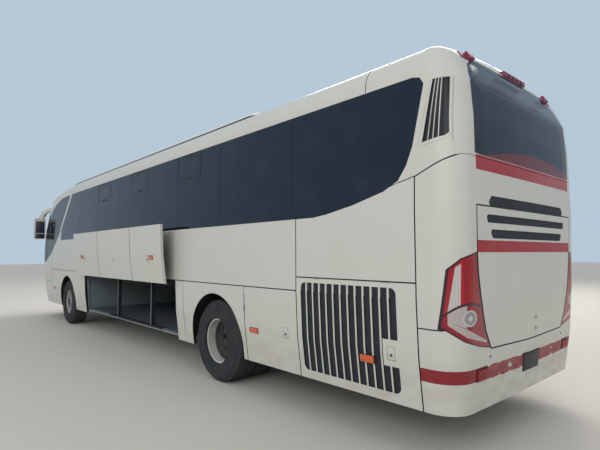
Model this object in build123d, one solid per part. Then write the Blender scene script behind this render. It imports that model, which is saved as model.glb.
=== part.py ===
from build123d import *
from collections import Counter
from math import atan2, degrees
import os

# Coach bus, +X forward, +Y to its left, +Z up, origin on the ground under its middle.
# All sizes are millimetres.

# Overall body
LENGTH = 12600
WIDTH = 2600
ROOF_Z = 3450
SKIRT_Z = 385
LOWER_TOP_Z = 1250
WAIST_Z = 1980
GLASS_TOP_Z = 3070
WALL = 44
GLASS = 8
SEAT_GAP = 0.3
LAMP_T = 28
HALF_L = LENGTH / 2
HALF_W = WIDTH / 2

# Wheels and where they stand
TYRE_R = 515
TYRE_W = 295
RIM_R = 286
REAR_AXLE_X = -2870
WHEELBASE = 6610
FRONT_AXLE_X = REAR_AXLE_X + WHEELBASE
TRACK_Y = 1097.5
TWIN_SPACING = 335
ARCH_R = 605

# Plan of the body at each height: how far sides, tail and nose stand in from the overall box
REAR_BULGE = 15
NOSE_BULGE = 120
REAR_CORNER_R = 230
NOSE_CORNER_R = 360
LOWER_SECTIONS = (  # z, side in, tail in, nose in
    (SKIRT_Z, 72, 95, 250),
    (800, 20, 48, 150),
    (LOWER_TOP_Z, 0, 22, 50),
)
WAIST_SECTIONS = (
    (LOWER_TOP_Z, 0, 22, 50),
    (1615, 0, 12, 0),
    (WAIST_Z, 0, 0, 20),
)
UPPER_SECTIONS = (
    (WAIST_Z, 0, 0, 20),
    (2300, 11.3, 0, 100),
    (2700, 25.3, 2, 330),
    (3000, 35.9, 25, 620),
    (3600, 57, 270, 1200),
)

# Crown of the roof: an arc across, which dips towards the nose
CROWN_HALF = 1400
CROWN_DROP = 172
DIP_X = 3200
DIP_R = 15300
ROOF_EDGE_R = 250

# Joints between panels
SEAM = 5
SEAM_DEPTH = 12
DOOR_GAP = 5
DOOR_TOP_GAP = 9
DOOR_THICK = 38
BAY_JOINT_X = -4480
TAIL_JOINT_X = -5910
ROOF_JOINT_X = -5395
NOSE_JOINT_X = 5100
BUMPER_Z = 940
TAIL_BUMPER_Z = 1040
GRILLE_TOP_Z = 1390
ARCH_PANEL_X = (-3550, -1820)

# Luggage doors, front to back edges along the side
LUGGAGE_X = (-1820, -666, 904, 2400)
LUGGAGE_OUT = 246
LUGGAGE_UP = 818
ARM_TIP_Z = 750
ARM_INSET = (220, 260)
ARM_R = 17
PIN_R = 8
PIN_FIT = 0.05
BAY_FLOOR_Z = 420
BAY_HALF_W = 1180
POST_X = (-727, 754)

# Entry door
ENTRY_X = (4500, 5380)
ENTRY_Z = (400, 2600)
ENTRY_ARM_L = 420
ENTRY_POST_X = 5220
ENTRY_POST_Y = -1165

# Floors and chassis
FLOOR_T = 40
CAB_FLOOR_Z = 1000
CAB_X = 4480
RAIL_Y = (420, 500)
RAIL_Z = (620, 860)
HOUSING_R = 715
HOUSING_T = 20
HOUSING_Y = (550, 1185)
AXLE_SLOT = (120, 720)


def box(x, y, z):
    """A block between two values along each axis."""
    size = [abs(v[1] - v[0]) for v in (x, y, z)]
    centre = [(v[0] + v[1]) / 2 for v in (x, y, z)]
    return Pos(*centre) * Box(*size)


def side_prism(points, y, radius=0):
    """An outline in x and z, carried from y[0] to y[1]."""
    plane = Plane(origin=(0, max(y), 0), x_dir=(1, 0, 0), z_dir=(0, -1, 0))
    return extrude(plane * flat(points, radius), max(y) - min(y))


def end_prism(points, x, radius=0):
    """An outline in y and z, carried from x[0] to x[1]."""
    plane = Plane(origin=(min(x), 0, 0), x_dir=(0, 1, 0), z_dir=(1, 0, 0))
    return extrude(plane * flat(points, radius), max(x) - min(x))


def corner_prism(points, corner, towards):
    """An outline seen square to a body corner: distance across it, and z."""
    across = (1, -towards[0] * towards[1], 0)
    into = Vector(*across).cross(Vector(0, 0, 1))
    plane = Plane(origin=corner, x_dir=across, z_dir=into)
    return extrude(plane * flat(points), 420, both=True)


def flat(points, radius=0):
    if radius:
        return make_face(FilletPolyline(*points, radius=radius, close=True))
    return make_face(Polyline(*points, close=True))


def rod(start, end, radius):
    """A round bar between two points."""
    start, end = Vector(*start), Vector(*end)
    return Plane(origin=start, z_dir=end - start) * Cylinder(
        radius, (end - start).length, align=(Align.CENTER, Align.CENTER, Align.MIN))


def mirrored(shape):
    return mirror(shape, Plane.XZ)


# Body envelope
def plan_outline(z, side_in, tail_in, nose_in, inset):
    y = HALF_W - side_in - inset
    tail = -HALF_L + tail_in + inset
    nose = HALF_L - nose_in - inset
    tail_side, nose_side = tail + REAR_BULGE, nose - NOSE_BULGE
    edges = [
        ThreePointArc((tail_side, -y), (tail, 0), (tail_side, y)),
        Line((tail_side, y), (nose_side, y)),
        ThreePointArc((nose_side, y), (nose, 0), (nose_side, -y)),
        Line((nose_side, -y), (tail_side, -y)),
    ]
    face = make_face(Curve() + edges)
    face = fillet([v for v in face.vertices() if v.X < 0], REAR_CORNER_R - inset)
    corners = [v for v in face.vertices() if v.X > nose_side - 1 and abs(v.Y) > y - 1]
    return Pos(0, 0, z) * fillet(corners, NOSE_CORNER_R - inset)


def band(sections, inset):
    return loft([plan_outline(*row, inset) for row in sections], ruled=True)


def crown(inset):
    """All that lies under the roof's outer surface."""
    top = ROOF_Z - inset
    arc = ThreePointArc((-CROWN_HALF, top - CROWN_DROP), (0, top), (CROWN_HALF, top - CROWN_DROP))
    walls = Polyline((CROWN_HALF, top - CROWN_DROP), (CROWN_HALF, 1500),
                     (-CROWN_HALF, 1500), (-CROWN_HALF, top - CROWN_DROP))
    section = Plane(origin=(DIP_X, 0, 0), x_dir=(0, 1, 0), z_dir=(1, 0, 0)) * make_face(Curve() + [arc, walls])
    straight = extrude(section, -(DIP_X + HALF_L + 200))
    dip = revolve(section, Axis((DIP_X, 0, top - DIP_R), (0, 1, 0)), revolution_arc=13)
    return straight + dip


def roof_edges(body):
    """The edges round the crown, where the roof turns down into the walls."""
    tops = [f for f in body.faces() if f.normal_at().Z > 0.8 and f.center().Z > GLASS_TOP_Z]
    edges = [e for f in tops for e in f.edges()]
    place = [tuple(round(v) for v in e.center()) for e in edges]
    seen = Counter(place)
    return [e for e, p in zip(edges, place) if seen[p] == 1]


def envelope(inset):
    """The body's outer surface, moved in by inset."""
    upper = band(UPPER_SECTIONS, inset) & crown(inset)
    upper = fillet(roof_edges(upper), ROOF_EDGE_R - inset)
    return upper + band(WAIST_SECTIONS, inset) + band(LOWER_SECTIONS, inset)


FAR = 7000
OUTER = envelope(0)
SEAT_BODY = envelope(DOOR_THICK - 4)
OVER = envelope(-1)
INNER = envelope(WALL)
CABIN = envelope(WALL + SEAT_GAP)
SHELL = OUTER - INNER
DOOR_SKIN = OUTER - envelope(DOOR_THICK)
GLASS_SKIN = OUTER - envelope(GLASS)
GLASS_RECESS = OVER - envelope(GLASS + SEAT_GAP)
LAMP_SKIN = OUTER - envelope(LAMP_T)
LAMP_RECESS = OVER - envelope(LAMP_T + SEAT_GAP)
SEAM_SKIN = OVER - envelope(SEAM_DEPTH)


def tucked(z):
    """Outer y of the side at a height on the skirt."""
    low, mid = LOWER_SECTIONS[:2]
    return HALF_W - mid[1] - (low[1] - mid[1]) * (mid[0] - z) / (mid[0] - low[0])


# Outlines of the glass and of the panels, seen from the side in x and z
SIDE_GLASS = [
    (3600, GLASS_TOP_Z - 5), (4350, 2250), (4330, WAIST_Z), (-4740, WAIST_Z), (-4920, 2000),
    (-5250, 2060), (-5600, 2150), (-5750, 2225), (-5830, 2340), (-5890, 2490),
    (-5995, 2985), (-5960, 3045), (-5890, GLASS_TOP_Z - 5),
]
DRIVER_GLASS = [
    (3740, 3055), (4450, 2270), (4460, 2190), (4760, 1950), (5200, 1665), (5430, 1565),
    (5430, 2620), (5300, 2790), (4890, 2940), (4400, 3040),
]
SCREEN = [
    (5440, 2610), (5440, 1560), (5770, 1425), (5950, 1390), (FAR, 1390),
    (FAR, 2990), (5700, 2990), (5550, 2860),
]
REAR_SEAM = [(ROOF_JOINT_X, 2105), (-5750, 2206), (-5922, 2244), (-6250, 2385), (-FAR, 2385)]

# Outlines on the tail, seen from behind in y and z
REAR_GLASS_HALF = [(1015, 2405), (1010, 2617), (1003, 2853), (995, 3041), (930, 3195)]
REAR_GLASS = REAR_GLASS_HALF + [(-y, z) for y, z in reversed(REAR_GLASS_HALF)]
HATCH_HALF = [
    (1020, 1997), (1008, 1640), (990, 1468), (955, 1302), (918, 1177), (860, 1012), (765, 866),
]
HATCH = HATCH_HALF + [(0, 848)] + [(-y, z) for y, z in reversed(HATCH_HALF)]
LAMP = [  # across the corner, z
    (-240, 1656), (-37, 1588), (76, 1503), (137, 1047),
    (81, 1040), (-56, 958), (-203, 901), (-350, 863),
]
HEADLAMP = [(-130, 1090), (-160, 1200), (40, 1190), (250, 1120), (350, 1060), (330, 990), (60, 1010)]
ROOF_LAMPS = (  # y low, y high, z low, z high
    (-990, -840, 3225, 3300),
    (-250, 250, 3300, 3375),
    (840, 990, 3225, 3300),
)
PANE_JOINTS = (-4400, -2990, -1830, -640, 540, 1750, 2900)
PILLAR_W = 90

LEFT = box((-FAR, FAR), (0, FAR), (0, 4000))
RIGHT = box((-FAR, FAR), (-FAR, 0), (0, 4000))
TOP_Z = 4000
ABOVE_SEAM = side_prism([(-FAR, TOP_Z), (ROOF_JOINT_X, TOP_Z)] + REAR_SEAM, (-FAR, FAR))


def inset_prism(points, axis, amount):
    """The clear opening inside an outline."""
    face = offset(flat(points), -amount)
    if axis == "y":
        plane = Plane(origin=(0, FAR, 0), x_dir=(1, 0, 0), z_dir=(0, -1, 0))
        return extrude(plane * face, 2 * FAR)
    plane = Plane(origin=(-FAR, 0, 0), x_dir=(0, 1, 0), z_dir=(1, 0, 0))
    return extrude(plane * face, 1100)


# Zones of the glass and lamps
SIDE_ZONE = side_prism(SIDE_GLASS, (-FAR, FAR))
DRIVER_ZONE = side_prism(DRIVER_GLASS, (0, FAR))
SCREEN_ZONE = side_prism(SCREEN, (-FAR, FAR))
REAR_ZONE = end_prism(REAR_GLASS, (-FAR, -6000), 60)
LAMP_ZONE = corner_prism(LAMP, (-HALF_L, HALF_W, 0), (-1, 1))
LAMP_ZONE = LAMP_ZONE + mirrored(LAMP_ZONE)
for y0, y1, z0, z1 in ROOF_LAMPS:
    LAMP_ZONE = LAMP_ZONE + box((-FAR, -6100), (y0, y1), (z0, z1))
HEADLAMP_ZONE = corner_prism(HEADLAMP, (HALF_L, HALF_W, 0), (1, 1))
HEADLAMP_ZONE = HEADLAMP_ZONE + mirrored(HEADLAMP_ZONE)
HATCH_ZONE = end_prism(HATCH, (-FAR, -6100))
HATCH_HOLE = end_prism([(y * 1.012, z + (6 if z > 1900 else -6)) for y, z in HATCH], (-FAR, -6100))
ENTRY_ZONE = box(ENTRY_X, (-FAR, -1000), ENTRY_Z)
ENTRY_HOLE = box((ENTRY_X[0] - DOOR_GAP, ENTRY_X[1] + DOOR_GAP), (-FAR, -1000), (0, ENTRY_Z[1] + DOOR_TOP_GAP))

nodes = {}

# Joint lines scored round the shell
seams = [
    box((BAY_JOINT_X, NOSE_JOINT_X), (-FAR, FAR), (LOWER_TOP_Z - SEAM / 2, LOWER_TOP_Z + SEAM / 2)),
    box((BAY_JOINT_X - SEAM / 2, BAY_JOINT_X + SEAM / 2), (-FAR, FAR), (0, WAIST_Z)),
    box((TAIL_JOINT_X - SEAM / 2, TAIL_JOINT_X + SEAM / 2), (-FAR, FAR), (0, 2241)),
    box((ROOF_JOINT_X - SEAM / 2, ROOF_JOINT_X + SEAM / 2), (-FAR, FAR), (GLASS_TOP_Z, TOP_Z)),
    box((-FAR, TAIL_JOINT_X), (-FAR, FAR), (TAIL_BUMPER_Z - SEAM / 2, TAIL_BUMPER_Z + SEAM / 2)),
    box((NOSE_JOINT_X - SEAM / 2, NOSE_JOINT_X + SEAM / 2), (0, FAR), (0, 1720)),
    box((NOSE_JOINT_X, FAR), (-FAR, FAR), (BUMPER_Z - SEAM / 2, BUMPER_Z + SEAM / 2)),
    side_prism([(x, z + SEAM / 2) for x, z in REAR_SEAM[1:]]
               + [(x, z - SEAM / 2) for x, z in reversed(REAR_SEAM[1:])], (-FAR, FAR)),
]
scores = [SEAM_SKIN & seam for seam in seams]

# Glass: panes bonded flush, with a pillar behind each joint
joints = [-FAR] + list(PANE_JOINTS) + [FAR]
side_skin = GLASS_SKIN & SIDE_ZONE & LEFT
panes = [side_skin & box((a + SEAM / 2, b - SEAM / 2), (0, FAR), (0, TOP_Z)) for a, b in zip(joints, joints[1:])]
nodes["side_glass_right"] = [mirrored(p) for p in panes]
nodes["side_glass_left"] = panes + [GLASS_SKIN & DRIVER_ZONE]
nodes["windscreen"] = [GLASS_SKIN & SCREEN_ZONE]
nodes["rear_glass"] = [GLASS_SKIN & REAR_ZONE]

pillars = [box((x - PILLAR_W / 2, x + PILLAR_W / 2), (-FAR, FAR), (0, TOP_Z)) for x in PANE_JOINTS]
glass_cuts = [
    GLASS_RECESS & zone for zone in (SIDE_ZONE, SCREEN_ZONE, REAR_ZONE, DRIVER_ZONE)] + [
    inset_prism(SIDE_GLASS, "y", 55) - pillars,
    inset_prism(DRIVER_GLASS, "y", 55) & LEFT,
    inset_prism(SCREEN, "y", 70),
    inset_prism(REAR_GLASS, "x", 60),
]
lamp_cuts = [LAMP_RECESS & LAMP_ZONE, LAMP_RECESS & HEADLAMP_ZONE]
scored = SHELL - (scores + glass_cuts + lamp_cuts + [HATCH_HOLE, ENTRY_HOLE])


def arch(x):
    return Pos(x, 0, TYRE_R) * Rot(90, 0, 0) * Cylinder(ARCH_R, 2 * FAR)


arches = arch(REAR_AXLE_X) + arch(FRONT_AXLE_X)
arches = arches + box((REAR_AXLE_X - ARCH_R, REAR_AXLE_X + ARCH_R), (-FAR, FAR), (0, TYRE_R))
arches = arches + box((FRONT_AXLE_X - ARCH_R, FRONT_AXLE_X + ARCH_R), (-FAR, FAR), (0, TYRE_R))

# Panels of the shell
nodes["roof_shell"] = [scored & box((ROOF_JOINT_X, FAR), (-FAR, FAR), (GLASS_TOP_Z, TOP_Z))]
nodes["rear_crown"] = [scored & ABOVE_SEAM]
wall_zone = side_prism([
    (TAIL_JOINT_X, GRILLE_TOP_Z), (BAY_JOINT_X, GRILLE_TOP_Z), (BAY_JOINT_X, LOWER_TOP_Z),
    (NOSE_JOINT_X, LOWER_TOP_Z), (NOSE_JOINT_X, GLASS_TOP_Z), (TAIL_JOINT_X, GLASS_TOP_Z)], (-FAR, FAR))
walls = (scored & wall_zone) - ABOVE_SEAM
skirts = scored & (
    box((ARCH_PANEL_X[0], ARCH_PANEL_X[1]), (-FAR, FAR), (0, LOWER_TOP_Z))
    + box((LUGGAGE_X[-1], NOSE_JOINT_X), (-FAR, FAR), (0, LOWER_TOP_Z))) - arches
tail = (scored & box((-FAR, TAIL_JOINT_X), (-FAR, FAR), (0, 2600))) - ABOVE_SEAM
nodes["rear_cap"] = [tail & box((-FAR, FAR), (-FAR, FAR), (TAIL_BUMPER_Z, TOP_Z))]
nodes["rear_bumper"] = [tail & box((-FAR, FAR), (-FAR, FAR), (0, TAIL_BUMPER_Z))]
nose = scored & box((NOSE_JOINT_X, FAR), (-FAR, FAR), (0, GLASS_TOP_Z))
nodes["front_cap"] = [nose & box((-FAR, FAR), (-FAR, FAR), (BUMPER_Z, TOP_Z))]
nodes["front_bumper"] = [nose & box((-FAR, FAR), (-FAR, FAR), (0, BUMPER_Z))]
nodes["rear_lamps"] = ((LAMP_SKIN & LAMP_ZONE) - HATCH_HOLE).solids()
nodes["headlamps"] = (LAMP_SKIN & HEADLAMP_ZONE).solids()


# Hinges: a pin between two lugs on the fixed side, and a knuckle on the leaf
HINGE_R = 8
HINGE_PIN_R = 3
HINGE_LUG = 14
KNUCKLE = 50
HINGE_LUG_AT = (KNUCKLE + HINGE_LUG) / 2 + SEAT_GAP
HINGE_END = HINGE_LUG_AT + HINGE_LUG / 2
HINGE_LINE_R = 11


def hinge_leaf(leaf, places, along):
    """Put a bored knuckle on the leaf at each point of one straight axis."""
    for place in places:
        plane = Plane(origin=place, z_dir=along)
        notches = [Pos(0, 0, side * HINGE_LUG_AT) * Cylinder(HINGE_R + 1, HINGE_LUG + 2) for side in (-1, 1)]
        bore = plane * Cylinder(HINGE_PIN_R + PIN_FIT, KNUCKLE + 2 * HINGE_LUG + 4)
        leaf = leaf - [plane * n for n in notches] + plane * Cylinder(HINGE_R, KNUCKLE) - bore
    return leaf


def hinge_frame(frame, places, along):
    """Put a pin between two lugs on the fixed side at each of those points."""
    for place in places:
        plane = Plane(origin=place, z_dir=along)
        lugs = [Pos(0, 0, side * HINGE_LUG_AT) * Cylinder(HINGE_R, HINGE_LUG) for side in (-1, 1)]
        frame = frame - plane * Cylinder(HINGE_R + 1, KNUCKLE + 2 * SEAT_GAP)
        frame = frame + plane * Cylinder(HINGE_PIN_R, KNUCKLE + 2 * HINGE_LUG) + [plane * lug for lug in lugs]
    return frame


# Doors along the sides
GRILLE_X = (-5715, -4550)
GRILLE_Z = (470, 1340)
GRILLE_COUNT = 13
GRILLE_BAR = 18
LOCK_PLATE = ((-5730, -5560), (690, 913))
SERVICE_HINGE_Z = (1000, 1190)
SERVICE_HINGE_Y = HALF_W - 7
SERVICE_X = (BAY_JOINT_X, ARCH_PANEL_X[0])
RADIATOR_X = (TAIL_JOINT_X, BAY_JOINT_X)


def side_door(x, top):
    return DOOR_SKIN & box((x[0] + DOOR_GAP, x[1] - DOOR_GAP), (0, FAR), (0, top))


def grille_slots(x, z, count, bar):
    """Upright slots with thin bars between them and rounded outer corners."""
    pitch = (x[1] - x[0] + bar) / count
    area = side_prism([(x[0], z[0]), (x[1], z[0]), (x[1], z[1]), (x[0], z[1])], (0, FAR), 60)
    return area - [box((x[0] + i * pitch - bar, x[0] + i * pitch), (-FAR, FAR), (0, TOP_Z)) for i in range(1, count)]


slots = grille_slots(GRILLE_X, GRILLE_Z, GRILLE_COUNT, GRILLE_BAR) - box(LOCK_PLATE[0], (-FAR, FAR), LOCK_PLATE[1])
service_door = side_door(SERVICE_X, LOWER_TOP_Z - DOOR_GAP)
engine_door = side_door(RADIATOR_X, GRILLE_TOP_Z - DOOR_GAP)
radiator_door = engine_door - slots
service_axis = [(SERVICE_X[1] - DOOR_GAP / 2, SERVICE_HINGE_Y, z) for z in SERVICE_HINGE_Z]
grille_axis = [(x, HALF_W, GRILLE_TOP_Z - DOOR_GAP / 2) for x in (RADIATOR_X[0] + 300, RADIATOR_X[1] - 300)]
service_door = hinge_leaf(service_door, service_axis, (0, 0, 1))
skirt_left = skirts & LEFT
hinge_line = ((SERVICE_HINGE_Z[0] + HINGE_END, SERVICE_HINGE_Z[1] - HINGE_END),
              (SERVICE_HINGE_Z[1] + HINGE_END, LOWER_TOP_Z + 1))
for low, high in hinge_line:  # the door's outer edge turns in this hollow
    hollow = Cylinder(HINGE_LINE_R, high - low)
    skirt_left = skirt_left - Pos(service_axis[0][0], SERVICE_HINGE_Y, (low + high) / 2) * hollow
skirt_left = hinge_frame(skirt_left, service_axis, (0, 0, 1))
nodes["skirt_left"] = skirt_left.solids()
nodes["skirt_right"] = (mirrored(skirt_left) - ENTRY_HOLE).solids()
nodes["service_door_left"] = [service_door]
nodes["service_door_right"] = [mirrored(service_door)]
nodes["radiator_door"] = [hinge_leaf(radiator_door, grille_axis, (1, 0, 0))]
nodes["engine_door"] = [mirrored(hinge_leaf(engine_door, grille_axis, (1, 0, 0)))]
nodes["side_wall_left"] = [hinge_frame(walls & LEFT, grille_axis, (1, 0, 0))]
right_wall = hinge_frame(walls & RIGHT, [(x, -y, z) for x, y, z in grille_axis], (1, 0, 0))
HEADER_X = ENTRY_X[0] - DOOR_GAP
header_joint = box((HEADER_X - SEAT_GAP, HEADER_X), (-FAR, 0), (ENTRY_Z[1], TOP_Z))
nodes["side_wall_right"] = (right_wall - header_joint).solids()

# Luggage doors: each hangs on two bent arms that swing it out and up while it stays upright
ARM_L = (LUGGAGE_OUT ** 2 + LUGGAGE_UP ** 2) / (2 * LUGGAGE_UP)
LUGGAGE_SWING = 90 + degrees(atan2(LUGGAGE_UP - ARM_L, LUGGAGE_OUT))
ARM_TIP_Y = tucked(ARM_TIP_Z) - DOOR_THICK - 22
PIVOT = (ARM_TIP_Y, ARM_TIP_Z + ARM_L)
ARM_T = 12
ARM_BEND = (128, -22)


def luggage_arm(x):
    """One arm with its door raised: a flat bar bent to pass under the wall's lower edge."""
    y0, z0 = PIVOT
    y1, z1 = ARM_TIP_Y + LUGGAGE_OUT, ARM_TIP_Z + LUGGAGE_UP
    bend = (y0 + ARM_BEND[0], z0 + ARM_BEND[1])
    plane = Plane(origin=(x - ARM_T / 2, 0, 0), x_dir=(0, 1, 0), z_dir=(1, 0, 0))
    bar = Part()
    for start, end in (((y0, z0), bend), (bend, (y1, z1))):
        run = Vector(*end) - Vector(*start)
        middle = (Vector(*start) + Vector(*end)) / 2
        slot = SlotCenterToCenter(run.length, 2 * ARM_R, rotation=degrees(atan2(run.Y, run.X)))
        bar = bar + extrude(plane * Pos(middle.X, middle.Y) * slot, ARM_T)
    holes = [Pos(x, y, z) * Rot(0, 90, 0) * Cylinder(PIN_R + PIN_FIT, 2 * ARM_T) for y, z in ((y0, z0), (y1, z1))]
    return bar - holes


def pin_plate(x, y, z, seat_y, seat_z):
    """A pin through an arm's end, on a plate beside the arm that reaches its seat."""
    pin = Pos(x + 2, y, z) * Rot(0, 90, 0) * Cylinder(PIN_R, ARM_T + 4)
    face = x + ARM_T / 2 + SEAT_GAP
    return pin + box((face, face + 8), seat_y, seat_z)


frame_brackets = []
rows = list(zip(LUGGAGE_X, LUGGAGE_X[1:]))
for number, (x0, x1) in enumerate(reversed(rows), 1):
    arms_x = (x0 + ARM_INSET[0], x1 - ARM_INSET[1])
    leaf = side_door((x0, x1), LOWER_TOP_Z - DOOR_TOP_GAP)
    for x in arms_x:
        leaf = leaf + pin_plate(x, ARM_TIP_Y, ARM_TIP_Z, (ARM_TIP_Y - 14, tucked(ARM_TIP_Z) - DOOR_THICK + 4),
                                (ARM_TIP_Z - 30, ARM_TIP_Z + 30))
        frame_brackets.append(pin_plate(x, *PIVOT, (PIVOT[0] - 14, PIVOT[0] + 14),
                                        (PIVOT[1] - 14, LOWER_TOP_Z + 1)))
    arms = [luggage_arm(x) for x in arms_x]
    close = Pos(0, *PIVOT) * Rot(-LUGGAGE_SWING, 0, 0) * Pos(0, -PIVOT[0], -PIVOT[1])
    nodes[f"luggage_door_left_{number}"] = [Pos(0, LUGGAGE_OUT, LUGGAGE_UP) * leaf]
    nodes[f"luggage_arms_left_{number}"] = arms
    nodes[f"luggage_door_right_{number}"] = [mirrored(leaf)]
    nodes[f"luggage_arms_right_{number}"] = [mirrored(close * arm) for arm in arms]

# Luggage bay: floor, end walls and two posts a side
BAY_X = (LUGGAGE_X[0], LUGGAGE_X[-1])
BAY_WALL = 40
POST = 60
bay = box(BAY_X, (-BAY_HALF_W, BAY_HALF_W), (BAY_FLOOR_Z, BAY_FLOOR_Z + 50))
for x in (BAY_X[0] - BAY_WALL, BAY_X[1]):
    bay = bay + box((x, x + BAY_WALL), (-BAY_HALF_W, BAY_HALF_W), (BAY_FLOOR_Z, LOWER_TOP_Z))
for x in POST_X:
    for y in (-1, 1):
        post_y = (y * (BAY_HALF_W - POST), y * BAY_HALF_W)
        bay = bay + box((x - POST / 2, x + POST / 2), post_y, (BAY_FLOOR_Z, LOWER_TOP_Z))
nodes["luggage_bay"] = [bay]

# Cabin floor with its wheel housings, entry steps and the door brackets
STEP_X = (ENTRY_X[0] - 5, ENTRY_X[1] + 20)
STEPS = [  # y, z
    (-1180, 400), (-1180, 450), (-880, 450), (-880, 720), (-600, 720), (-600, 1000),
    (-320, 1000), (-320, 960), (-560, 960), (-560, 680), (-840, 680), (-840, 400),
]
FLOOR_TOP = LOWER_TOP_Z + FLOOR_T
floor = box((-FAR, CAB_X), (-FAR, FAR), (LOWER_TOP_Z, FLOOR_TOP))
floor = floor + box((CAB_X - FLOOR_T, CAB_X), (-320, FAR), (CAB_FLOOR_Z - FLOOR_T, FLOOR_TOP))
floor = floor + box((CAB_X, 5700), (-320, FAR), (CAB_FLOOR_Z - FLOOR_T, CAB_FLOOR_Z))
floor = floor & CABIN
nodes["entry_steps"] = [end_prism(STEPS, STEP_X)]
housings = []
for axle_x in (REAR_AXLE_X, FRONT_AXLE_X):
    across = Pos(axle_x, 0, TYRE_R) * Rot(90, 0, 0)
    outer_r = HOUSING_R + HOUSING_T + 4
    tunnel = across * (Cylinder(outer_r, 2 * HOUSING_Y[1]) - Cylinder(HOUSING_R, 2 * HOUSING_Y[1]))
    cheek = across * Cylinder(outer_r, 2 * HOUSING_Y[0] + 2 * HOUSING_T)
    cheek = cheek - across * Cylinder(HOUSING_R + HOUSING_T + 5, 2 * HOUSING_Y[0])
    housing = (tunnel + cheek) & box((-FAR, FAR), (-FAR, FAR), (TYRE_R, LOWER_TOP_Z))
    housing = housing - box((-FAR, FAR), (-HOUSING_Y[0], HOUSING_Y[0]), (0, TOP_Z))
    housing = housing - box((axle_x - AXLE_SLOT[0], axle_x + AXLE_SLOT[0]), (-FAR, FAR), (0, AXLE_SLOT[1]))
    housings += housing.solids()
nodes["wheel_housings"] = housings
for bracket in frame_brackets:
    floor = floor + bracket + mirrored(bracket)
nodes["cabin_floor"] = floor.solids()

# Chassis rails with cross-members up to the floor
rails = Part()
for x in ((-6050, BAY_X[0] - BAY_WALL), (BAY_X[1] + BAY_WALL, 5900)):
    for y in (-1, 1):
        rails = rails + box(x, (y * RAIL_Y[0], y * RAIL_Y[1]), RAIL_Z)
CROSS_X = (-4700, -3900, -2000, 2900, 4300)
for x in CROSS_X:
    rails = rails + box((x - 30, x + 30), (-RAIL_Y[1], RAIL_Y[1]), (RAIL_Z[0] + 80, LOWER_TOP_Z))
rails = rails + box((5300, 5360), (-RAIL_Y[1], RAIL_Y[1]), (RAIL_Z[0] + 80, CAB_FLOOR_Z - FLOOR_T))
nodes["chassis_rails"] = rails.solids()

# Engine as one block between the rails, and the radiator behind its grille
nodes["engine"] = [box((-5950, -4800), (-RAIL_Y[0], RAIL_Y[0]), (480, 1180))]
radiator = box((-5700, -4560), (1030, 1150), (480, 1240))
radiator = radiator + box((-5300, -4960), (RAIL_Y[1], 1031), (640, 700))
nodes["radiator"] = [radiator]


# Wheels: turned about Y, profiles in radius and width
def turned(profile, y=0):
    return Pos(0, y, 0) * revolve(make_face(Polyline(*profile, close=True)), Axis.Y)


SIDE_W = TYRE_W / 2
BEAD_W = 115
SHOULDER = (45, 42)
TYRE = [
    (RIM_R, -SIDE_W), (TYRE_R, -SIDE_W), (TYRE_R, SIDE_W - SHOULDER[1]),
    (TYRE_R - SHOULDER[0], SIDE_W), (RIM_R, SIDE_W),
]
INNER_TYRE = [(RIM_R, -SIDE_W), (TYRE_R, -SIDE_W), (TYRE_R, SIDE_W), (RIM_R, SIDE_W)]
STUB_R = 42
WELL_R = 262
HUB_BORE = STUB_R + PIN_FIT
FRONT_RIM = [
    (RIM_R, -BEAD_W), (RIM_R, BEAD_W), (WELL_R, BEAD_W), (WELL_R, 50), (165, 50), (165, 95),
    (110, 95), (110, 130), (HUB_BORE, 130), (HUB_BORE, -20), (WELL_R, -20), (WELL_R, -BEAD_W),
]
REAR_HUB_END = -70
DISC_BACK = -140
REAR_RIM = [
    (RIM_R, -BEAD_W), (RIM_R, BEAD_W), (WELL_R, BEAD_W), (WELL_R, -70), (236, -70), (236, -105), (115, -105),
    (115, REAR_HUB_END), (HUB_BORE, REAR_HUB_END), (HUB_BORE, DISC_BACK), (WELL_R, DISC_BACK), (WELL_R, -BEAD_W),
]
INNER_RIM = [
    (RIM_R, -BEAD_W), (RIM_R, BEAD_W), (HUB_BORE, BEAD_W), (HUB_BORE, 80), (WELL_R, 80), (WELL_R, -BEAD_W),
]
SPACER_Y = (BEAD_W - TWIN_SPACING - 1, DISC_BACK + 1)
SPACER = [(HUB_BORE, SPACER_Y[0]), (HUB_BORE, SPACER_Y[1]), (150, SPACER_Y[1]), (150, SPACER_Y[0])]


def place_wheel(shape, x, side):
    """A wheel made for the left, set at its axle on either side."""
    shape = Pos(x, TRACK_Y, TYRE_R) * shape
    return shape if side > 0 else mirrored(shape)


twin_y = -TWIN_SPACING
for name, side in (("left", 1), ("right", -1)):
    nodes[f"front_tyre_{name}"] = [place_wheel(turned(TYRE), FRONT_AXLE_X, side)]
    nodes[f"front_rim_{name}"] = [place_wheel(turned(FRONT_RIM), FRONT_AXLE_X, side)]
    nodes[f"rear_tyres_{name}"] = [
        place_wheel(turned(TYRE), REAR_AXLE_X, side), place_wheel(turned(INNER_TYRE, twin_y), REAR_AXLE_X, side)]
    pair = turned(REAR_RIM) + turned(INNER_RIM, twin_y) + turned(SPACER)
    nodes[f"rear_rims_{name}"] = [place_wheel(pair, REAR_AXLE_X, side)]

# Front axle beam with kingpin bosses, steering knuckles
KINGPIN_Y = 900
KINGPIN_R = 25
BOSS_R = 48
BOSS_H = 110
EAR_T = 30
WEB_Y = (KINGPIN_Y + 55, KINGPIN_Y + 85)
BELLOWS_R = 75
BEAM_Z = (400, 500)


def upright(x, y, z0, z1, radius):
    return Pos(x, y, (z0 + z1) / 2) * Cylinder(radius, z1 - z0)


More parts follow.
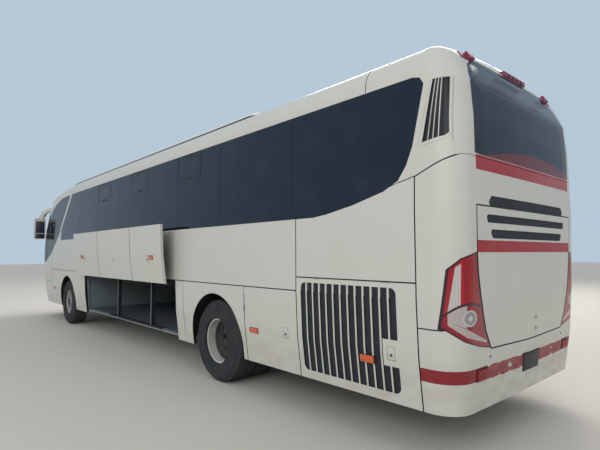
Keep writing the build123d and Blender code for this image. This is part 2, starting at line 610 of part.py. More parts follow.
beam = box((FRONT_AXLE_X - 60, FRONT_AXLE_X + 60), (-660, 660), BEAM_Z)
boss_z = (TYRE_R - BOSS_H / 2, TYRE_R + BOSS_H / 2)
for side in (-1, 1):
    beam = beam + box((FRONT_AXLE_X - 40, FRONT_AXLE_X + 40), (side * 600, side * KINGPIN_Y), boss_z)
for side in (-1, 1):
    beam = beam + upright(FRONT_AXLE_X, side * KINGPIN_Y, *boss_z, BOSS_R)
    beam = beam - upright(FRONT_AXLE_X, side * KINGPIN_Y, 0, 1000, KINGPIN_R + PIN_FIT)
    beam = beam + upright(FRONT_AXLE_X, side * sum(RAIL_Y) / 2, BEAM_Z[1] - 1, RAIL_Z[0], BELLOWS_R)
nodes["front_axle"] = [beam]

ear_low, ear_high = boss_z[0] - SEAT_GAP, boss_z[1] + SEAT_GAP
ear_z = ((ear_low - EAR_T, ear_low), (ear_high, ear_high + EAR_T))
knuckle = upright(FRONT_AXLE_X, KINGPIN_Y, ear_z[0][0], ear_z[1][1], KINGPIN_R)
for z0, z1 in ear_z:
    knuckle = knuckle + upright(FRONT_AXLE_X, KINGPIN_Y, z0, z1, BOSS_R)
    knuckle = knuckle + box((FRONT_AXLE_X - 40, FRONT_AXLE_X + 40), (KINGPIN_Y, WEB_Y[1]), (z0, z1))
knuckle = knuckle + box((FRONT_AXLE_X - 40, FRONT_AXLE_X + 40), WEB_Y, (ear_z[0][0], ear_z[1][1]))
knuckle = knuckle + rod((FRONT_AXLE_X, WEB_Y[0] + 5, TYRE_R), (FRONT_AXLE_X, TRACK_Y + 125, TYRE_R), STUB_R)
nodes["knuckle_left"] = [knuckle]
nodes["knuckle_right"] = [mirrored(knuckle)]

# Rear axle: tube, differential, stubs and spring seats
axle = rod((REAR_AXLE_X, -600, TYRE_R), (REAR_AXLE_X, 600, TYRE_R), 75)
axle = axle + Pos(REAR_AXLE_X, 0, TYRE_R) * Rot(0, 90, 0) * Cylinder(190, 260)
stub_end = TRACK_Y + REAR_HUB_END
axle = axle + rod((REAR_AXLE_X, -stub_end, TYRE_R), (REAR_AXLE_X, stub_end, TYRE_R), STUB_R)
for side in (-1, 1):
    axle = axle + upright(REAR_AXLE_X, side * sum(RAIL_Y) / 2, TYRE_R, RAIL_Z[0], BELLOWS_R)
nodes["rear_axle"] = [axle]

# Entry door leaf, its glass, and the post with two arms that carries it
ENTRY_GLASS = ((ENTRY_X[0] + 110, ENTRY_X[1] - 90), (1050, ENTRY_Z[1] - 110))
leaf = DOOR_SKIN & box((ENTRY_X[0] + DOOR_GAP, ENTRY_X[1] - DOOR_GAP), (-FAR, 0), ENTRY_Z)
corners = [(x, z) for x, z in zip(ENTRY_GLASS[0] + ENTRY_GLASS[0][::-1],
                                  (ENTRY_GLASS[1][0],) * 2 + (ENTRY_GLASS[1][1],) * 2)]
pane_zone = side_prism(corners, (-FAR, 0), 70)
leaf = leaf - (GLASS_RECESS & pane_zone)
leaf = leaf - (inset_prism(corners, "y", 40) & RIGHT)
nodes["entry_door_glass"] = [GLASS_SKIN & pane_zone]
ENTRY_ARM_Z = (860, 2545)
TIP_X = ENTRY_POST_X - ENTRY_ARM_L
post = upright(ENTRY_POST_X, ENTRY_POST_Y, 450 + SEAT_GAP, ENTRY_Z[1] - 20, 22)
for z in ENTRY_ARM_Z:
    post = post + box((TIP_X, ENTRY_POST_X), (ENTRY_POST_Y - 14, ENTRY_POST_Y + 14), (z - 12, z + 12))
    post = post + upright(TIP_X, ENTRY_POST_Y, z - 12, z + 12, 20)
    post = post - upright(TIP_X, ENTRY_POST_Y, z - 20, z + 20, PIN_R + PIN_FIT)
    leaf = leaf + upright(TIP_X, ENTRY_POST_Y, z - 12, z + 20, PIN_R)
    plate = box((TIP_X - 22, TIP_X + 22), (-FAR, ENTRY_POST_Y + 20), (z + 12 + SEAT_GAP, z + 20))
    leaf = leaf + (plate & SEAT_BODY)
nodes["entry_door"] = [leaf]
nodes["entry_door_arm"] = [post]

# Engine hatch on the tail, hung from its top edge, with the vent slots through it
slot_rows = (  # z low, z high, half width low, half width high
    (1870, 1937, 850, 870),
    (1745, 1818, 760, 815),
)
hatch = DOOR_SKIN & HATCH_ZONE
for z0, z1, low, high in slot_rows:
    hatch = hatch - end_prism([(-low, z0), (low, z0), (high, z1), (-high, z1)], (-FAR, -6100), 25)
HATCH_AXIS = [(-HALF_L + 3, y, 2000) for y in (-420, 420)]
cap_slot = end_prism([(-860, 2009), (860, 2009), (780, 2090), (-780, 2090)], (-FAR, -6100), 25)
rear_cap = nodes["rear_cap"][0] - cap_slot
nodes["rear_hatch"] = [hinge_leaf(hatch, HATCH_AXIS, (0, 1, 0))]
nodes["rear_cap"] = [hinge_frame(rear_cap, HATCH_AXIS, (0, 1, 0))]

# Rear quarter vents: slanted slots between an upper and a lower line
VENT_TOP = ((-6078, 2999), (-6163, 2988))
VENT_FOOT = ((-5983, 2508), (-6165, 2535))
VENT_SLOTS = 4
VENT_MARGIN = 0.03


def between(line, t):
    (x0, z0), (x1, z1) = line
    return (x0 + (x1 - x0) * t, z0 + (z1 - z0) * t)


vents = []
for i in range(VENT_SLOTS):
    start, end = i / VENT_SLOTS + VENT_MARGIN, (i + 1) / VENT_SLOTS - VENT_MARGIN
    points = [between(VENT_TOP, start), between(VENT_TOP, end),
              between(VENT_FOOT, end), between(VENT_FOOT, start)]
    vents.append(side_prism(points, (-FAR, FAR)))
nodes["rear_crown"] = [nodes["rear_crown"][0] - vents]

# Roof fairing on a plinth that stands in from its edge
FAIRING_X = (-3400, 4500)
FAIRING_HALF_W = 1000
FAIRING_H = 75
PLINTH_H = 15
PLINTH_IN = 15


def fairing_layer(low, high, inward):
    length, width = FAIRING_X[1] - FAIRING_X[0] - 2 * inward, 2 * (FAIRING_HALF_W - inward)
    plan = Plane.XY.offset(3000) * Pos(sum(FAIRING_X) / 2, 0) * RectangleRounded(length, width, 180 - inward)
    return (crown(-high) - crown(-low)) & extrude(plan, 1000)


nodes["roof_fairing"] = [fairing_layer(SEAT_GAP, PLINTH_H, PLINTH_IN) + fairing_layer(PLINTH_H, FAIRING_H, 0)]

# Mirrors: a curved horn from each upper front corner carries the head ahead of the screen
MIRROR_OUT_Y = HALF_W + LUGGAGE_OUT
MIRROR_X = (5990, 6110)
MIRROR_W = 270
MIRROR_Z = (2050, 2620)
HORN_ROOT = (5480, 1130, 0)
HORN_TOWARDS = (0.92, 0.39, 0)
HORN_T = 70
HORN = [  # along the horn, z
    (0, 2870), (200, 2890), (400, 2860), (560, 2790), (680, 2680), (690, 2560),
    (540, 2560), (520, 2660), (440, 2740), (330, 2790), (180, 2810), (0, 2790),
]
horn_plane = Plane(origin=HORN_ROOT, x_dir=HORN_TOWARDS, z_dir=Vector(*HORN_TOWARDS).cross(Vector(0, 0, 1)))
horn = extrude(horn_plane * flat(HORN), HORN_T / 2, both=True) - envelope(-SEAT_GAP)
horn = horn.solids().sort_by(SortBy.VOLUME)[-1]
head = [(MIRROR_OUT_Y - MIRROR_W, z) for z in MIRROR_Z] + [(MIRROR_OUT_Y, z) for z in reversed(MIRROR_Z)]
left = horn + end_prism(head, MIRROR_X, 50)
nodes["mirrors"] = [left, mirrored(left)]

# Seats in pairs on each side, the driver's seat, dashboard and steering wheel
SEAT_PROFILE = [  # forward, up
    (0, 0), (60, 0), (60, 330), (430, 360), (440, 450),
    (60, 450), (-120, 1080), (-230, 1080), (-60, 360), (0, 330),
]
SEAT_PITCH = 790
SEAT_Y = (270, 1190)
SEAT_FIRST_X = 3300
SEAT_ROWS = 11


def seat(x, z, y):
    return side_prism([(x + forward, z + up) for forward, up in SEAT_PROFILE], y)


seats = [seat(4640, CAB_FLOOR_Z, (480, 980))]
for side in (1, -1):
    span = (side * SEAT_Y[0], side * SEAT_Y[1])
    seats += [seat(SEAT_FIRST_X - SEAT_PITCH * i, FLOOR_TOP, span) for i in range(SEAT_ROWS)]
nodes["seats"] = seats
DASH = [(5420, CAB_FLOOR_Z), (5420, 1500), (5300, 1700), (5480, 1790), (5690, 1700), (5690, CAB_FLOOR_Z)]
COLUMN = (Vector(5440, 740, 1580), Vector(5170, 740, 1790))
COLUMN_R = 22
STEERING_R = 225
aim = (COLUMN[1] - COLUMN[0]).normalized()
nodes["dashboard"] = [(side_prism(DASH, (-310, 1150)) & CABIN) + rod(COLUMN[0], COLUMN[1], COLUMN_R)]
ring = Cylinder(STEERING_R, 24) - Cylinder(STEERING_R - 24, 24)
ring = ring + Cylinder(50, 40) + Box(2 * STEERING_R - 20, 30, 16) - Cylinder(COLUMN_R + PIN_FIT, 60)
nodes["steering_wheel"] = [Plane(origin=COLUMN[1] - aim * 24, z_dir=aim) * ring]


def write_all():
    os.makedirs("parts", exist_ok=True)
    for name, pieces in nodes.items():
        solids = [solid for piece in pieces for solid in piece.solids()]
        shape = solids[0] if len(solids) == 1 else Compound(children=solids)
        export_step(shape, f"parts/{name}.step")
        low, high = shape.bounding_box().min, shape.bounding_box().max
        print(name, len(solids), [round(v) for v in (*low, *high)])


write_all()
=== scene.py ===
import math

import bmesh
import bpy
from mathutils import Matrix, Vector


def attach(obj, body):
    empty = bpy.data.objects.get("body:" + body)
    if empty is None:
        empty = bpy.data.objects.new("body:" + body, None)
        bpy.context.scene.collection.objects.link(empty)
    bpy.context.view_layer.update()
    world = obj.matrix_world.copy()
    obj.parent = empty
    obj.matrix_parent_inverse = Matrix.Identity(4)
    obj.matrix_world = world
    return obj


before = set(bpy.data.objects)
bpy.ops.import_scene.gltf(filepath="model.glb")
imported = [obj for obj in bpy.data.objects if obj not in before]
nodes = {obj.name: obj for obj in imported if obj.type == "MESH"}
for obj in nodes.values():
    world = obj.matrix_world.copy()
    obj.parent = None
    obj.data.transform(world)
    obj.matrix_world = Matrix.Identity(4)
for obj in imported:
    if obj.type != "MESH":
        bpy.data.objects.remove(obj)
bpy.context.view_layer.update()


# Chassis rails, front and rear axle, steering knuckles and the housings over the wheels: welded
# and forged steel under black chassis paint, with dried road dirt in patches. The CAD carries
# their shapes, bolted up under the floor, and they get their finish here.
class Value:
    """A socket of a node tree. An expression on values adds its Math nodes."""

    def __init__(self, tree, socket=None):
        self.tree = tree
        self.socket = socket

    def node(self, kind, sockets, output=0, **settings):
        """Add a node: its settings first, then a value or a link for each of its sockets."""
        new = self.tree.nodes.new("ShaderNode" + kind)
        for key, setting in settings.items():
            setattr(new, key, setting)
        for key, value in sockets.items():
            self.feed(new.inputs[key], value)
        return Value(self.tree, new.outputs[output])

    def feed(self, entry, value):
        if isinstance(value, Value):
            self.tree.links.new(value.socket, entry)
        elif entry.type == "RGBA":
            entry.default_value = (*value, 1)
        else:
            entry.default_value = value

    def math(self, operation, *others):
        return self.node("Math", dict(enumerate((self, *others))), operation=operation)

    def __add__(self, other):
        return self.math("ADD", other)

    def __sub__(self, other):
        return self.math("SUBTRACT", other)

    def __rsub__(self, other):
        return self.node("Math", {0: other, 1: self}, operation="SUBTRACT")

    def __mul__(self, other):
        return self.math("MULTIPLY", other)

    def __abs__(self):
        return self.math("ABSOLUTE")

    __radd__ = __add__
    __rmul__ = __mul__

    def root(self):
        return self.math("SQRT")

    def fraction(self):
        return self.math("FRACT")

    def wave(self):
        return self.math("SINE")

    def least(self, other):
        return self.math("MINIMUM", other)

    def most(self, other):
        return self.math("MAXIMUM", other)

    def ramp(self, low, high):
        """0 at low and below, 1 at high and above, smooth between."""
        sockets = {0: self, 1: low, 2: high, 3: 0.0, 4: 1.0}
        return self.node("MapRange", sockets, interpolation_type="SMOOTHSTEP")

    def above(self, edge, soft=0.002):
        return self.ramp(edge - soft, edge + soft)

    def below(self, edge, soft=0.002):
        return 1 - self.above(edge, soft)

    def inside(self, low, high, soft=0.002):
        return self.above(low, soft) * self.below(high, soft)

    def parts(self):
        """The three parts of a vector."""
        split = self.node("SeparateXYZ", {0: self}).socket.node
        return [Value(self.tree, out) for out in split.outputs]


class Finish(Value):
    """A material that knows where it is on the coach: x, y and z in metres, and out from the middle."""

    def __init__(self, name, colour=(0.5, 0.5, 0.5), rough=0.5, **settings):
        self.material = bpy.data.materials.new(name)
        self.material.use_nodes = True
        super().__init__(self.material.node_tree)
        self.shader = self.tree.nodes["Principled BSDF"]
        self.place = self.node("TexCoord", {}, "Object")
        self.x, self.y, self.z = self.place.parts()
        self.out = abs(self.y)
        self.set("Base Color", colour)
        self.set("Roughness", rough)
        for key, value in settings.items():
            self.set(key.replace("_", " "), value)

    def set(self, name, value):
        self.feed(self.shader.inputs[name], value)

    def facing(self, axis):
        """How far the surface faces along an axis, from -1 to 1."""
        return self.node("TexCoord", {}, "Normal").parts()[axis]

    def noise(self, scale, detail=3.0, stretch=(1, 1, 1)):
        """Soft noise from 0 to 1, its cells scaled along each axis by stretch."""
        place = self.node("Mapping", {"Vector": self.place, "Scale": stretch})
        return self.node("TexNoise", {"Vector": place, "Scale": scale, "Detail": detail})

    def mix(self, first, second, amount):
        return self.node("Mix", {0: amount, 6: first, 7: second}, 2, data_type="RGBA")

    def bump(self, height, distance):
        """Raise the surface by a height of 0 to 1, which stands for distance in metres."""
        self.set("Normal", self.node("Bump", {"Height": height, "Distance": distance}))


def grimy(name, colour, dirt, rough, scale=8.0, metal=0.0):
    """A surface with soil in soft patches, which dulls it."""
    look = Finish(name, Metallic=metal)
    soil = look.noise(scale, 5.0).ramp(0.35, 0.8)
    look.set("Base Color", look.mix(colour, dirt, soil * 0.6))
    look.set("Roughness", soil * 0.25 + rough)
    look.bump(look.noise(scale * 12, 3.0), 0.0008)
    return look


CREASE = math.radians(28)  # a sharper edge than this stays an edge on the shells


def dress(look, *kinds):
    """Give a finish to the CAD nodes of these kinds, on both sides and of every number."""
    for name, node in nodes.items():
        words = [word for word in name.split("_") if word not in ("left", "right", "1", "2", "3")]
        if "_".join(words) in kinds:
            node.data.materials.clear()
            node.data.materials.append(look.material)
            node.data.shade_smooth()
            node.data.set_sharp_from_angle(angle=CREASE)


chassis_paint = grimy("chassis_paint", (0.024, 0.027, 0.034), (0.12, 0.10, 0.08), 0.55)
dress(chassis_paint, "chassis_rails", "front_axle", "rear_axle", "knuckle", "wheel_housings")


# Engine and radiator in the tail: a cast iron block with oily dust on it, and beside it a stack
# of pressed fins between flat tubes, bolted to the rails behind the grille of the left side.
iron = grimy("engine_iron", (0.05, 0.05, 0.052), (0.10, 0.085, 0.06), 0.6, 6.0, 0.4)
dress(iron, "engine")

fins = Finish("radiator_fins", rough=0.6, Metallic=0.3)
rib = (fins.z * 160.0).fraction().inside(0.2, 0.8, 0.1)
tube = (fins.x * 55.0).fraction().inside(0.1, 0.9, 0.06)
fins.set("Base Color", fins.mix((0.004, 0.004, 0.004), (0.022, 0.023, 0.026), rib * tube))
fins.bump(rib * tube, 0.002)
dress(fins, "radiator")


# Tyres: black rubber about 1.03 m across, single in front and twin behind. Moulded rings run
# round the sidewall, grooves and block edges cross the tread, and dust greys them.
AXLES = {"front": 3.74, "rear": -2.87}
TYRE_R = 0.515
TRACK_Y = 1.0975
TWIN_Y = 0.335
RUBBER = (0.027, 0.030, 0.034)
ROAD_DUST = (0.095, 0.090, 0.082)


def round_axle(look, axle):
    """Distance from an axle's middle line, and the angle round it."""
    along, up = look.x - AXLES[axle], look.z - TYRE_R
    return (along * along + up * up).root(), up.math("ARCTAN2", along)


for axle in AXLES:
    tyre = Finish("tyre_" + axle, rough=0.85, Specular_IOR_Level=0.25)
    radius, angle = round_axle(tyre, axle)
    across = tyre.out - TRACK_Y
    if axle == "rear":
        inner_tyre = abs(tyre.out - (TRACK_Y - TWIN_Y)).below(0.15)
        across = across + inner_tyre * TWIN_Y
    groove = (across * 22.0 + 0.25).fraction().inside(0.38, 0.62, 0.06) * radius.above(0.503, 0.003)
    block_edge = (angle * 11.0 + across * 9.0).fraction().inside(0.42, 0.55, 0.05)
    block_edge = block_edge * radius.above(0.500, 0.003)
    rings = radius.inside(0.318, 0.322) + radius.inside(0.345, 0.352)
    rings = rings + radius.inside(0.425, 0.43) + radius.inside(0.462, 0.468)
    grime = tyre.noise(9.0, 5.0).ramp(0.35, 0.75) * 0.22 + radius.above(0.485, 0.03) * 0.2
    tyre.set("Base Color", tyre.mix(RUBBER, ROAD_DUST, grime))
    tyre.bump(rings * 0.35 - groove - block_edge * 0.5 + tyre.noise(180.0, 2.0) * 0.05, 0.006)
    dress(tyre, axle + "_tyre", axle + "_tyres")


# Rims: pressed steel discs with round hand holes in dull silver paint, ten holes in front and
# eight behind, where the dish stands deep and is painted darker. The holes are painted black,
# as the shade seen through them, and dark rings on the steps of the barrel are painted shade.
HAND_HOLES = {"front": (10, 0.212, 0.026), "rear": (8, 0.200, 0.034)}
SILVER = (0.60, 0.60, 0.58)


def near(distance, half):
    """A line where a distance is nil, so many metres wide to each side."""
    return abs(distance).below(half, 0.0015)


for axle, (count, ring, hole_r) in HAND_HOLES.items():
    rim = Finish("rim_" + axle)
    radius, angle = round_axle(rim, axle)
    step = (angle * (count / (2 * math.pi)) + 0.5).fraction() - 0.5
    along = step * (2 * math.pi / count) * radius
    away = ((radius - ring) * (radius - ring) + along * along).root()
    outer = abs(rim.facing(1)).above(0.7)
    # the hand holes are painted black: painted shade seen through the openings
    shaded_hole = away.below(hole_r) * outer
    collar = away.below(0.041) * outer * (1 - shaded_hole)
    depth = rim.out - TRACK_Y
    # the deep part of the dish is painted darker
    dish = depth.below(0.006, 0.006) if axle == "rear" else radius.below(0.262) * 0.2
    # dark rings at the steps of the barrel: painted shade
    step_shade = near(depth - 0.085, 0.004) + near(depth - 0.045, 0.003)
    colour = rim.mix(SILVER, (0.46, 0.41, 0.33), rim.noise(6.0, 5.0).ramp(0.35, 0.8) * 0.6)
    colour = rim.mix(colour, (0.20, 0.20, 0.20), step_shade * radius.above(0.25) * 0.8)
    colour = rim.mix(colour, (0.105, 0.098, 0.090), dish)
    colour = rim.mix(colour, (0.16, 0.16, 0.16), collar * 0.6)
    rim.set("Base Color", rim.mix(colour, (0.003, 0.003, 0.003), shaded_hole))
    rim.set("Metallic", (1 - shaded_hole) * 0.15)
    rim.bump(rim.noise(40.0, 3.0) * 0.02 - shaded_hole, 0.01)
    dress(rim, axle + "_rim", axle + "_rims")


# Wheel nuts and hub caps: ten steel hexagon nuts hold each disc, and a stepped black cap with
# eight small screws closes the hub. Both turn with their wheel.
SIDES = (("left", 1), ("right", -1))
SUNK = 0.0005  # how deep a small piece is set into what carries it
PIECE_CREASE = math.radians(35)
NUT = (0.016, 0.030)
CAP_SCREW = (0.008, 0.008)
HUBS = (  # axle, its wheels, ring and face of the nuts, radius, face and relief of the cap
    ("front", "front_wheel", 0.138, 0.095, 0.110, 0.130, 0.4),
    ("rear", "rear_wheels", 0.158, -0.105, 0.115, -0.070, 1.0),
)
bright_steel = grimy("arm_steel", (0.30, 0.30, 0.31), (0.12, 0.11, 0.10), 0.35, 20.0, 0.9)


def finish_piece(name, mesh, body, look, bevel=0.0):
    """Turn a bmesh into a piece that rides on a body, its edges rounded by bevel."""
    if bevel:
        bmesh.ops.bevel(mesh, geom=mesh.edges[:], offset=bevel, segments=2, profile=0.5, affect="EDGES",
                        material=-1, clamp_overlap=True)
    data = bpy.data.meshes.new(name)
    mesh.to_mesh(data)
    mesh.free()
    data.materials.append(look.material)
    data.shade_smooth()
    data.set_sharp_from_angle(angle=PIECE_CREASE)
    piece = bpy.data.objects.new(name, data)
    bpy.context.scene.collection.objects.link(piece)
    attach(piece, body)


def ring_of_nuts(mesh, axle, sign, ring, count, size, face, turned=0.0):
    """Hexagon heads on a circle round the axle, at a face so far out from the middle."""
    radius, height = size
    for number in range(count):
        angle = 2 * math.pi * (number + turned) / count
        spot = (AXLES[axle] + ring * math.cos(angle), sign * face, TYRE_R + ring * math.sin(angle))
        turn = Matrix.Rotation(sign * math.pi / -2, 4, "X")
        bmesh.ops.create_cone(mesh, cap_ends=True, segments=6, radius1=radius, radius2=radius * 0.8,
                              depth=height, matrix=Matrix.Translation(spot) @ turn)


for side, sign in SIDES:
    for axle, wheels, nut_ring, nut_face, cap_r, cap_face, relief in HUBS:
        wheel = f"{wheels}_{side}"
        mesh = bmesh.new()
        ring_of_nuts(mesh, axle, sign, nut_ring, 10, NUT, TRACK_Y + nut_face + NUT[1] / 2 - SUNK, 0.5)
        finish_piece(f"wheel_nuts_{axle}_{side}", mesh, wheel, bright_steel, 0.002)
        mesh = bmesh.new()
        for radius, height in ((cap_r * 0.9, 0.010 * relief), (cap_r * 0.55, 0.020 * relief)):
            spot = (AXLES[axle], sign * (TRACK_Y + cap_face + height / 2 - SUNK), TYRE_R)
            turn = Matrix.Translation(spot) @ Matrix.Rotation(math.pi / 2, 4, "X")
            bmesh.ops.create_cone(mesh, cap_ends=True, segments=40, radius1=radius, radius2=radius,
                                  depth=height, matrix=turn)
        screw_face = TRACK_Y + cap_face + (0.014 if axle == "rear" else 0.006)
        ring_of_nuts(mesh, axle, sign, cap_r * 0.72, 8, CAP_SCREW, screw_face)
        finish_piece(f"hub_cap_{axle}_{side}", mesh, wheel, chassis_paint, 0.0015)


# Luggage bay: a box of painted sheet metal under the floor, open to both sides, with a lighter
# front wall. Two narrow pale posts a side stand between the doors, on a darker frame.
BODY = "coach_body"
lining = Finish("bay_lining", rough=0.7, Specular_IOR_Level=0.25)
post = lining.out.above(1.176) * lining.z.above(0.471)
post = post * near(lining.x + 0.727, 0.008).most(near(lining.x - 0.754, 0.008))
soil = lining.noise(5.0, 5.0).ramp(0.35, 0.8)
colour = lining.mix((0.085, 0.110, 0.125), (0.13, 0.15, 0.155), soil * 0.5)
colour = lining.mix(colour, (0.17, 0.21, 0.22), lining.x.above(2.38))
colour = lining.mix(colour, (0.016, 0.020, 0.024), lining.out.above(1.118) * abs(lining.x).below(1.2))
lining.set("Base Color", lining.mix(colour, (0.26, 0.28, 0.29), post))
lining.bump(lining.noise(90.0, 3.0), 0.0008)
dress(lining, "luggage_bay")


# Sills and jambs of the luggage bay: a bright aluminium strip is screwed along the foot of the
# opening, and a lined return closes the skirt's hollow at both of its ends.
HALF_LENGTH = 6.3
HALF_WIDTH = 1.3
STAND_IN = (  # z, and how far the side and the tail stand in there from the widest and longest
    (0.385, 0.072, 0.095), (0.8, 0.02, 0.048), (1.25, 0, 0.022), (1.615, 0, 0.012), (1.98, 0, 0),
    (2.3, 0.0113, 0), (2.7, 0.0253, 0.002), (3.0, 0.0359, 0.025),
)
CORNER_R = 0.23
SILL = (4.2, 0.005, 0.014)
JAMBS = (("rear", -1.803), ("front", 2.395))
JAMB_ENDS = (0.46, 1.20)
BAY_Y = 1.178
PANEL = 0.038  # depth of the skirt and its frame
sill_metal = grimy("sill_aluminium", (0.55, 0.55, 0.55), (0.25, 0.24, 0.22), 0.35, 25.0, 0.8)


def stand_in(z):
    """How far the side and the tail stand in at a height."""
    for (z0, side0, tail0), (z1, side1, tail1) in zip(STAND_IN, STAND_IN[1:]):
        if z <= z1:
            share = max((z - z0) / (z1 - z0), 0)
            return side0 + (side1 - side0) * share, tail0 + (tail1 - tail0) * share
    return STAND_IN[-1][1:]


def side_y(x, z, inset):
    """Half width of the body at a point of its side, inset from the skin, round the rear corner too."""
    side_in, tail_in = stand_in(z)
    radius = CORNER_R - inset
    corner_x = -HALF_LENGTH + tail_in + 0.0115 + inset + radius
    corner_y = HALF_WIDTH - side_in - inset - radius
    if x > corner_x:
        return HALF_WIDTH - side_in - inset
    return corner_y + math.sqrt(max(radius * radius - (corner_x - x) ** 2, 0))


def sheet(name, body, corners, point, look, columns=16, rows=6, thick=0.003, bevel=0.0):
    """A thin sheet between two lines of two corners each, laid where point puts it."""
    mesh = bmesh.new()
    bmesh.ops.create_grid(mesh, x_segments=columns, y_segments=rows, size=0.5)
    (low_start, low_end), (high_start, high_end) = [[Vector(corner) for corner in line] for line in corners]
    for vert in mesh.verts:
        along, up = vert.co.x + 0.5, vert.co.y + 0.5
        vert.co = point(*low_start.lerp(low_end, along).lerp(high_start.lerp(high_end, along), up))
    bmesh.ops.recalc_face_normals(mesh, faces=mesh.faces[:])
    bmesh.ops.solidify(mesh, geom=mesh.faces[:], thickness=thick)
    bmesh.ops.recalc_face_normals(mesh, faces=mesh.faces[:])
    finish_piece(name, mesh, body, look, bevel)


for side, sign in SIDES:
    mesh = bmesh.new()
    move = Matrix.Translation((0.29, sign * 1.182, 0.431)) @ Matrix.Diagonal((*SILL, 1))
    bmesh.ops.create_cube(mesh, size=1.0, matrix=move)
    finish_piece(f"bay_sill_{side}", mesh, BODY, sill_metal, 0.002)
    for end, x in JAMBS:
        lines = [((BAY_Y, z), (side_y(x, z, PANEL), z)) for z in JAMB_ENDS]
        sheet(f"bay_jamb_{end}_{side}", BODY, lines,
              lambda y, z: (x, sign * y, z), lining, 1, 1, 0.006, 0.001)


# Cabin floor and entry steps under worn vinyl, and the driver's dashboard and steering wheel in
# black moulded plastic with dust in its grain. All are seen only through the glass and the door.
floor_vinyl = grimy("floor_vinyl", (0.07, 0.07, 0.075), (0.13, 0.12, 0.10), 0.6, 10.0)
dress(floor_vinyl, "cabin_floor", "entry_steps")
black_plastic = grimy("black_plastic", (0.02, 0.02, 0.022), (0.06, 0.055, 0.05), 0.5, 30.0)
dress(black_plastic, "dashboard", "steering_wheel")


# Seats: rows of pairs beside an aisle, foam on steel frames under dark blue woven cloth, with a
# lighter panel down the middle of each seat.
cloth = Finish("seat_cloth", rough=0.9, Sheen_Weight=0.3)
weave = (cloth.y * 420.0).wave() * (cloth.z * 420.0).wave()
panel = cloth.out.inside(0.33, 0.68, 0.004) + cloth.out.inside(0.78, 1.13, 0.004)
cloth.set("Base Color", cloth.mix((0.02, 0.022, 0.035), (0.055, 0.06, 0.10), panel))
cloth.bump(weave * 0.5 + 0.5, 0.0006)
dress(cloth, "seats")


# Roof shell, front cap and front bumper: sheet metal and moulded panels in chalky off-white. Dust
# lies low down, rain has left faint streaks, and black joints run where two panels meet.
WHITE = (0.56, 0.56, 0.51)
DUST = (0.40, 0.36, 0.29)
# black of the joints, also used for painted shade in grooves and round frames
JOINT_AND_SHADE_BLACK = (0.012, 0.012, 0.013)
JOINT_HALF = 0.006
GLASS_TINT = (0.003, 0.011, 0.030)


def either(first, *others):
    """The strongest of some masks."""
    for other in others:
        first = first.most(other)
    return first


def side_joints(look):
    """Joints between the panels of the side, the front and the roof."""
    return either(
        near(look.z - 1.25, JOINT_HALF) * look.x.inside(-4.482, 5.1),
        near(look.x + 4.48, JOINT_HALF) * look.z.below(1.98),
        near(look.x + 5.91, JOINT_HALF) * look.z.below(2.24),
        near(look.z - 1.39, JOINT_HALF) * look.x.inside(-5.91, -4.48),
        near(look.x + 3.55, JOINT_HALF) * look.z.below(1.25),
        near(look.x + 2.045, 0.004) * look.z.below(1.25),
        near(look.x - 5.1, 0.004) * look.z.below(1.72) * look.y.above(0),
        near(look.z - 0.94, 0.004) * look.x.above(5.1),
        near(look.x + 5.395, 0.004) * look.z.above(3.07))


def paint(name, dark=(), film=None, inner=None, glazed=None, shine=0.4):
    """Body paint, with black joints and black painted shade, and perhaps coloured film, another colour
    inside or black glass.
    """
    look = Finish(name, Coat_Weight=shine / 4, Coat_Roughness=0.2, Specular_IOR_Level=shine)
    streaks = look.noise(2.2, 4.0, (3.0, 3.0, 0.35)).ramp(0.52, 0.8)
    blotches = look.noise(0.9, 3.0).ramp(0.45, 0.75)
    low = (1 - look.z.ramp(0.38, 1.0)) * look.noise(5.0, 5.0, (1, 1, 2)).ramp(0.3, 0.75)
    soil = low * 0.45 + streaks * 0.10 + blotches * 0.06
    colour = look.mix(WHITE, DUST, soil)
    if film:
        mask, film_colour = film(look)
        colour = look.mix(colour, film_colour, mask)
    if inner:
        mask, inner_colour = inner(look)
        colour = look.mix(colour, inner_colour, mask)
    # the dark masks: joints, and for some paints painted shade in grooves and round frames
    for mask in dark:
        colour = look.mix(colour, JOINT_AND_SHADE_BLACK, mask(look).least(1.0))
    rough = soil * 0.4 + 0.34
    if glazed:
        border = glazed(look)
        colour = look.mix(colour, GLASS_TINT, border)
        rough = rough * (1 - border) + border * 0.06
        look.set("Coat Weight", (1 - border) * 0.05)
    look.set("Base Color", colour)
    look.set("Roughness", rough)
    look.bump(look.noise(1.3, 1.0) + look.noise(260.0, 1.0) * 0.01, 0.004)
    return look


body_paint = paint("body_paint", (side_joints,))
dress(body_paint, "roof_shell", "front_cap", "front_bumper")


# Side walls, skirts and the doors behind the rear wheel: steel and aluminium panels in the same
# paint. The edge faces of their lower parts and the doors' cut edges are painted black, as the
# shade in their grooves, and the lips of the wheel arches are black.
ARCH_R = 0.605


def shaded_edges_and_arch_lips(look):
    """Edge faces of the lower panels, painted black as the shade in their grooves, and the lips of the wheel
    arches in black.
    """
    # painted shade: faces that don't look out to the side go black below the waist
    edge = abs(look.facing(1)).below(0.55, 0.05) * look.z.below(1.252)
    for axle_x in AXLES.values():
        along, up = look.x - axle_x, (look.z - TYRE_R).most(0.0)
        arch = (along * along + up * up).root().below(ARCH_R + 0.003, 0.001)
        edge = edge.most(arch * look.z.below(1.2))
    return edge


side_paint = paint("side_paint", (side_joints, shaded_edges_and_arch_lips))
dress(side_paint, "side_wall", "skirt", "service_door", "radiator_door", "engine_door")


